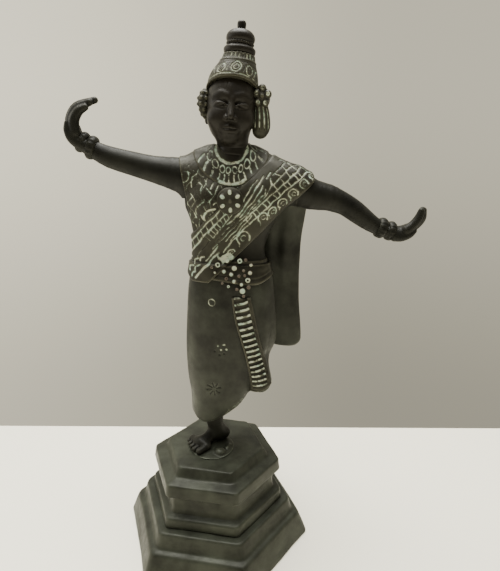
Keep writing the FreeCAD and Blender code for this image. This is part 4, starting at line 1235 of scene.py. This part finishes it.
def turned(outline, count=72):
    """A round part on the crown's axis, over an outline of (radius, height) from its foot to its top."""
    t = np.linspace(0, 2 * math.pi, count, endpoint=False)
    around = np.column_stack((np.cos(t), np.sin(t)))
    return sweep([np.column_stack((CROWN_AXIS + radius * around, np.full(count, height)))
                  for radius, height in through(outline, 3)])


lower_disc = turned([(6, 65.6), (10.2, 66.2), (11.3, 68.0), (11.2, 69.8), (9.6, 71.4), (8.6, 72.2),
                     (8.4, 73.2)])
piece("crown_disc_lower_cast", lower_disc, head_to_row, FACE)
upper_disc = turned([(6, 71.6), (9.2, 72.0), (9.9, 73.2), (9.4, 74.2), (10.0, 75.2), (10.2, 77.0),
                     (9.4, 79.2), (7.2, 81.2), (4.2, 82.2), (2.6, 82.4)], count=144)
a, b, h = upper_disc.points.T
band = smoothstep(71.9, 72.5, h) * smoothstep(74.4, 73.8, h)
ticks = smoothstep(0.2, 0.8, np.cos(np.arctan2(a, -(b + 2)) * 30)) * band
upper_disc.engrave(ticks, 0.3, 0.45)
piece("crown_disc_upper_cast", upper_disc, head_to_row, FACE)
knob = turned([(2.4, 81.4), (2.9, 82.6), (3.1, 84.6), (3.1, 86.4), (2.5, 87.6), (1.2, 88.2), (0.3, 88.3)], 48)
piece("finial_knob_cast", knob, head_to_row, FACE)

# ---------------------------------------------------------------- ear ornaments

def nearest(points, spots):
    """The distance from each point to the nearest of the spots."""
    return np.min([np.linalg.norm(points - np.array(spot), axis=1) for spot in spots], 0)


drop_space = Space((-30, -12, 16), (-12, 12, 46), 0.34)
p = drop_space.points
drop = limb(p, [(-19.4, -1.5, 39.6, 2.8), (-20.4, -2.5, 34.0, 4.0), (-19.6, -2.5, 27.0, 3.2),
                (-18.4, -2.5, 22.4, 1.5)])
drop_beads = []
for level, radius in ((38.8, 2.8), (35.0, 3.8), (31.0, 3.8), (27.2, 3.0), (24.2, 1.9)):
    middle = curve(level, [21.8, 27, 34, 40], [-18.4, -19.6, -20.4, -19.4])
    for turn in turns(6, 30 * (level % 2 > 1)):
        spot = (float(middle) + radius * math.cos(turn), -2.4 + radius * math.sin(turn), level)
        drop_beads.append(spot)
        drop = blend(drop, egg(p, spot, (1.25, 1.25, 1.25)), 1.1)
drop_mesh = mesh_of(drop_space, drop)
drop_mesh.dust(0.85 * smoothstep(1.5, 0.9, nearest(drop_mesh.points, drop_beads[::4])))
piece("ear_ornament_right_cast", drop_mesh, head_to_row, CLOTH)

flower_space = Space((8, -17, 26), (33, 10, 54), 0.34)
p = flower_space.points
FLOWER = (21.0, -5.2, 40.0)
flower = egg(p, (20.2, -2.6, 39.2), (7.4, 6.4, 8.6))
flower = blend(flower, egg(p, FLOWER, (5.4, 5.0, 6.2)), 1.5)
dots = []
for turn in turns(5, 20):
    petal = (FLOWER[0] + 4.4 * math.cos(turn), FLOWER[1] - 1.8, FLOWER[2] + 5.4 * math.sin(turn))
    flower = blend(flower, egg(p, petal, (2.9, 3.6, 3.0)), 0.9)
    dots.append((petal[0], petal[1] - 3.2, petal[2]))
    flower = without(flower, egg(p, (petal[0], petal[1] - 4.0, petal[2]), (1.0, 1.3, 1.0)), 0.5)
flower = blend(flower, egg(p, (FLOWER[0], FLOWER[1] - 4.4, FLOWER[2]), (1.7, 1.8, 1.7)), 0.5)
flower_mesh = mesh_of(flower_space, flower)
hollows = 0.95 * smoothstep(1.9, 1.1, nearest(flower_mesh.points, dots))
flower_mesh.dust(broken(flower_mesh.points, hollows, 121, 0.5))
piece("ear_flower_left_cast", flower_mesh, head_to_row, CLOTH)

tassel_space = Space((10, -15, 7), (33, 9, 42), 0.34)
p = tassel_space.points
tassel = limb(p, [(20.8, -3.4, 35.5, 5.0), (22.2, -3.6, 28, 6.2), (23.0, -3.8, 20.5, 6.7),
                  (22.6, -3.8, 17.4, 6.0)])
tassel_mesh = mesh_of(tassel_space, tassel)
a, b, h = tassel_mesh.points.T
round_tassel = np.arctan2(b + 3.7, a - curve(h, [16.8, 28, 35.5], [23.0, 22.2, 20.8]))
strand = 0.5 + 0.5 * np.cos(11 * round_tassel + 0.06 * h)
hanging = smoothstep(15.5, 20.5, h) * smoothstep(36.5, 34.0, h)
grooves = smoothstep(0.62, 0.95, strand) * hanging
tassel_mesh.engrave(broken(tassel_mesh.points, grooves, 123, 0.3), 0.7, 0.95)
piece("ear_tassel_left_cast", tassel_mesh, head_to_row, CLOTH)

# ---------------------------------------------------------------- medallion

medal_space = Space((-6, -32, 286), (19, -14, 312), 0.34)
p = medal_space.points
MEDAL = (6.4, 299.4)
from_middle = np.sqrt((p[0] - MEDAL[0]) ** 2 + (p[2] - MEDAL[1]) ** 2)
medal_v = front_of(trunk_space, body, *MEDAL) - 1.0
medal = both(from_middle - 9.6, np.abs(p[1] - medal_v) - 2.6, 1.4)
medal = blend(medal, egg(p, (MEDAL[0], medal_v - 0.6, MEDAL[1]), (9.8, 5.0, 9.8)), 1.0)
petals = []
for turn in turns(6, 92):
    spot = (MEDAL[0] + 6.3 * math.cos(turn), medal_v - 4.0, MEDAL[1] + 6.3 * math.sin(turn))
    petals.append((spot, turn))
    medal = blend(medal, egg(p, (spot[0], spot[1] + 0.3, spot[2]), (2.1, 1.5, 2.1)), 0.6)
medal = blend(medal, egg(p, (MEDAL[0], medal_v - 5.0, MEDAL[1]), (1.7, 1.3, 1.7)), 0.6)
medal_mesh = mesh_of(medal_space, medal)
u, v, z = medal_mesh.points.T
whites = np.zeros(len(u))
for spot, turn in petals:
    out = (u - spot[0]) * math.cos(turn) + (z - spot[2]) * math.sin(turn)
    side = -(u - spot[0]) * math.sin(turn) + (z - spot[2]) * math.cos(turn)
    whites = np.maximum(whites, smoothstep(1.2, 0.8, np.sqrt((out / 1.9) ** 2 + (side / 1.35) ** 2)))
medal_mesh.dust(whites * (v < medal_v))
piece("chest_medallion_cast", medal_mesh, figure_to_row, CLOTH)

# ---------------------------------------------------------------- pins and fasteners, hidden inside

PINS = ("base_locating_pins", "finial_pin", "neck_dowel", "waist_dowel", "shoulder_dowels", "wrist_dowels")
FASTENERS = ("mounting_stud", "mounting_washer", "mounting_nut")
for names, material, slot in ((PINS, BRASS, "brass_pins"), (FASTENERS, STEEL, "steel_fasteners")):
    for name in names:
        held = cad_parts[name]
        held.data.materials.clear()
        held.data.materials.append(material)

# ---------------------------------------------------------------- floor, light and camera

# The floor ends a hand's breadth behind the stand, against the bright room.
FLOOR_REACH, FLOOR_BACK, FLOOR_TURN = 1.6, 0.150, math.radians(9.6)
floor = bpy.data.objects.new("floor", bpy.data.meshes.new("floor"))
corners = [(-FLOOR_REACH, -FLOOR_REACH, 0), (FLOOR_REACH, -FLOOR_REACH, 0),
           (FLOOR_REACH, FLOOR_BACK, 0), (-FLOOR_REACH, FLOOR_BACK, 0)]
floor.data.from_pydata(corners, [], [(0, 1, 2, 3)])
floor.rotation_euler = (0, 0, FLOOR_TURN)
bpy.context.scene.collection.objects.link(floor)
pale = bpy.data.materials.new("floor_pale")
pale.use_nodes = True
paint = pale.node_tree.nodes["Principled BSDF"]
paint.inputs["Base Color"].default_value = (0.92, 0.89, 0.76, 1)
paint.inputs["Roughness"].default_value = 0.7
floor.data.materials.append(pale)

world = bpy.data.worlds.new("studio")
bpy.context.scene.world = world
world.use_nodes = True
studio = world.node_tree
way = studio.nodes.new("ShaderNodeSeparateXYZ")
studio.links.new(studio.nodes.new("ShaderNodeTexCoord").outputs["Generated"], way.inputs[0])


def fade(axis, low, high, at_low, at_high):
    """A smooth change of brightness along one axis of the room."""
    node = studio.nodes.new("ShaderNodeMapRange")
    node.interpolation_type = "SMOOTHSTEP"
    for word, value in zip(("From Min", "From Max", "To Min", "To Max"), (low, high, at_low, at_high)):
        node.inputs[word].default_value = value
    studio.links.new(way.outputs[axis], node.inputs["Value"])
    return node.outputs["Result"]


def times(one, two):
    """The product of two brightnesses."""
    node = studio.nodes.new("ShaderNodeMath")
    node.operation = "MULTIPLY"
    studio.links.new(one, node.inputs[0])
    studio.links.new(two, node.inputs[1])
    return node.outputs[0]


# The room is brighter to the left, and darker below and towards the front.
glow = times(fade("X", -0.75, 0.15, 1.95, 1.0), fade("Z", -0.55, 0.2, 0.55, 1.0))
glow = times(glow, fade("Y", -0.5, 0.3, 0.55, 1.0))
background = studio.nodes["Background"]
background.inputs["Color"].default_value = (0.68, 0.635, 0.49, 1)
studio.links.new(glow, background.inputs["Strength"])


def softbox(name, place, aim, width, power, colour=(1, 1, 1)):
    """A square lamp in watts, turned to face a place."""
    data = bpy.data.lights.new(name, "AREA")
    data.shape = "SQUARE"
    data.size = width
    data.energy = power
    data.color = colour
    lamp = bpy.data.objects.new(name, data)
    lamp.location = place
    lamp.rotation_euler = (Vector(aim) - Vector(place)).to_track_quat("-Z", "Y").to_euler()
    bpy.context.scene.collection.objects.link(lamp)


softbox("overhead", (-0.10, 0.10, 1.6), (0, 0, 0), 1.3, 74, (1.0, 0.99, 0.93))
softbox("left_window", (-1.0, -0.1, 0.6), (0, 0, 0.2), 0.7, 3)

camera = bpy.data.objects.new("camera", bpy.data.cameras.new("camera"))
camera.data.sensor_width = 36.0
camera.data.lens = 27.05
camera.data.clip_start = 0.01
YAW, PITCH, ROLL = math.radians(-9.11), math.radians(15.26), math.radians(0.59)
forward = Vector((math.sin(YAW) * math.cos(PITCH), math.cos(YAW) * math.cos(PITCH), -math.sin(PITCH)))
camera.location = (0.0821, -0.3273, 0.3224)
camera.rotation_mode = "QUATERNION"
camera.rotation_quaternion = forward.to_track_quat("-Z", "Y") @ Euler((0, 0, ROLL)).to_quaternion()
bpy.context.scene.collection.objects.link(camera)
bpy.context.scene.camera = camera
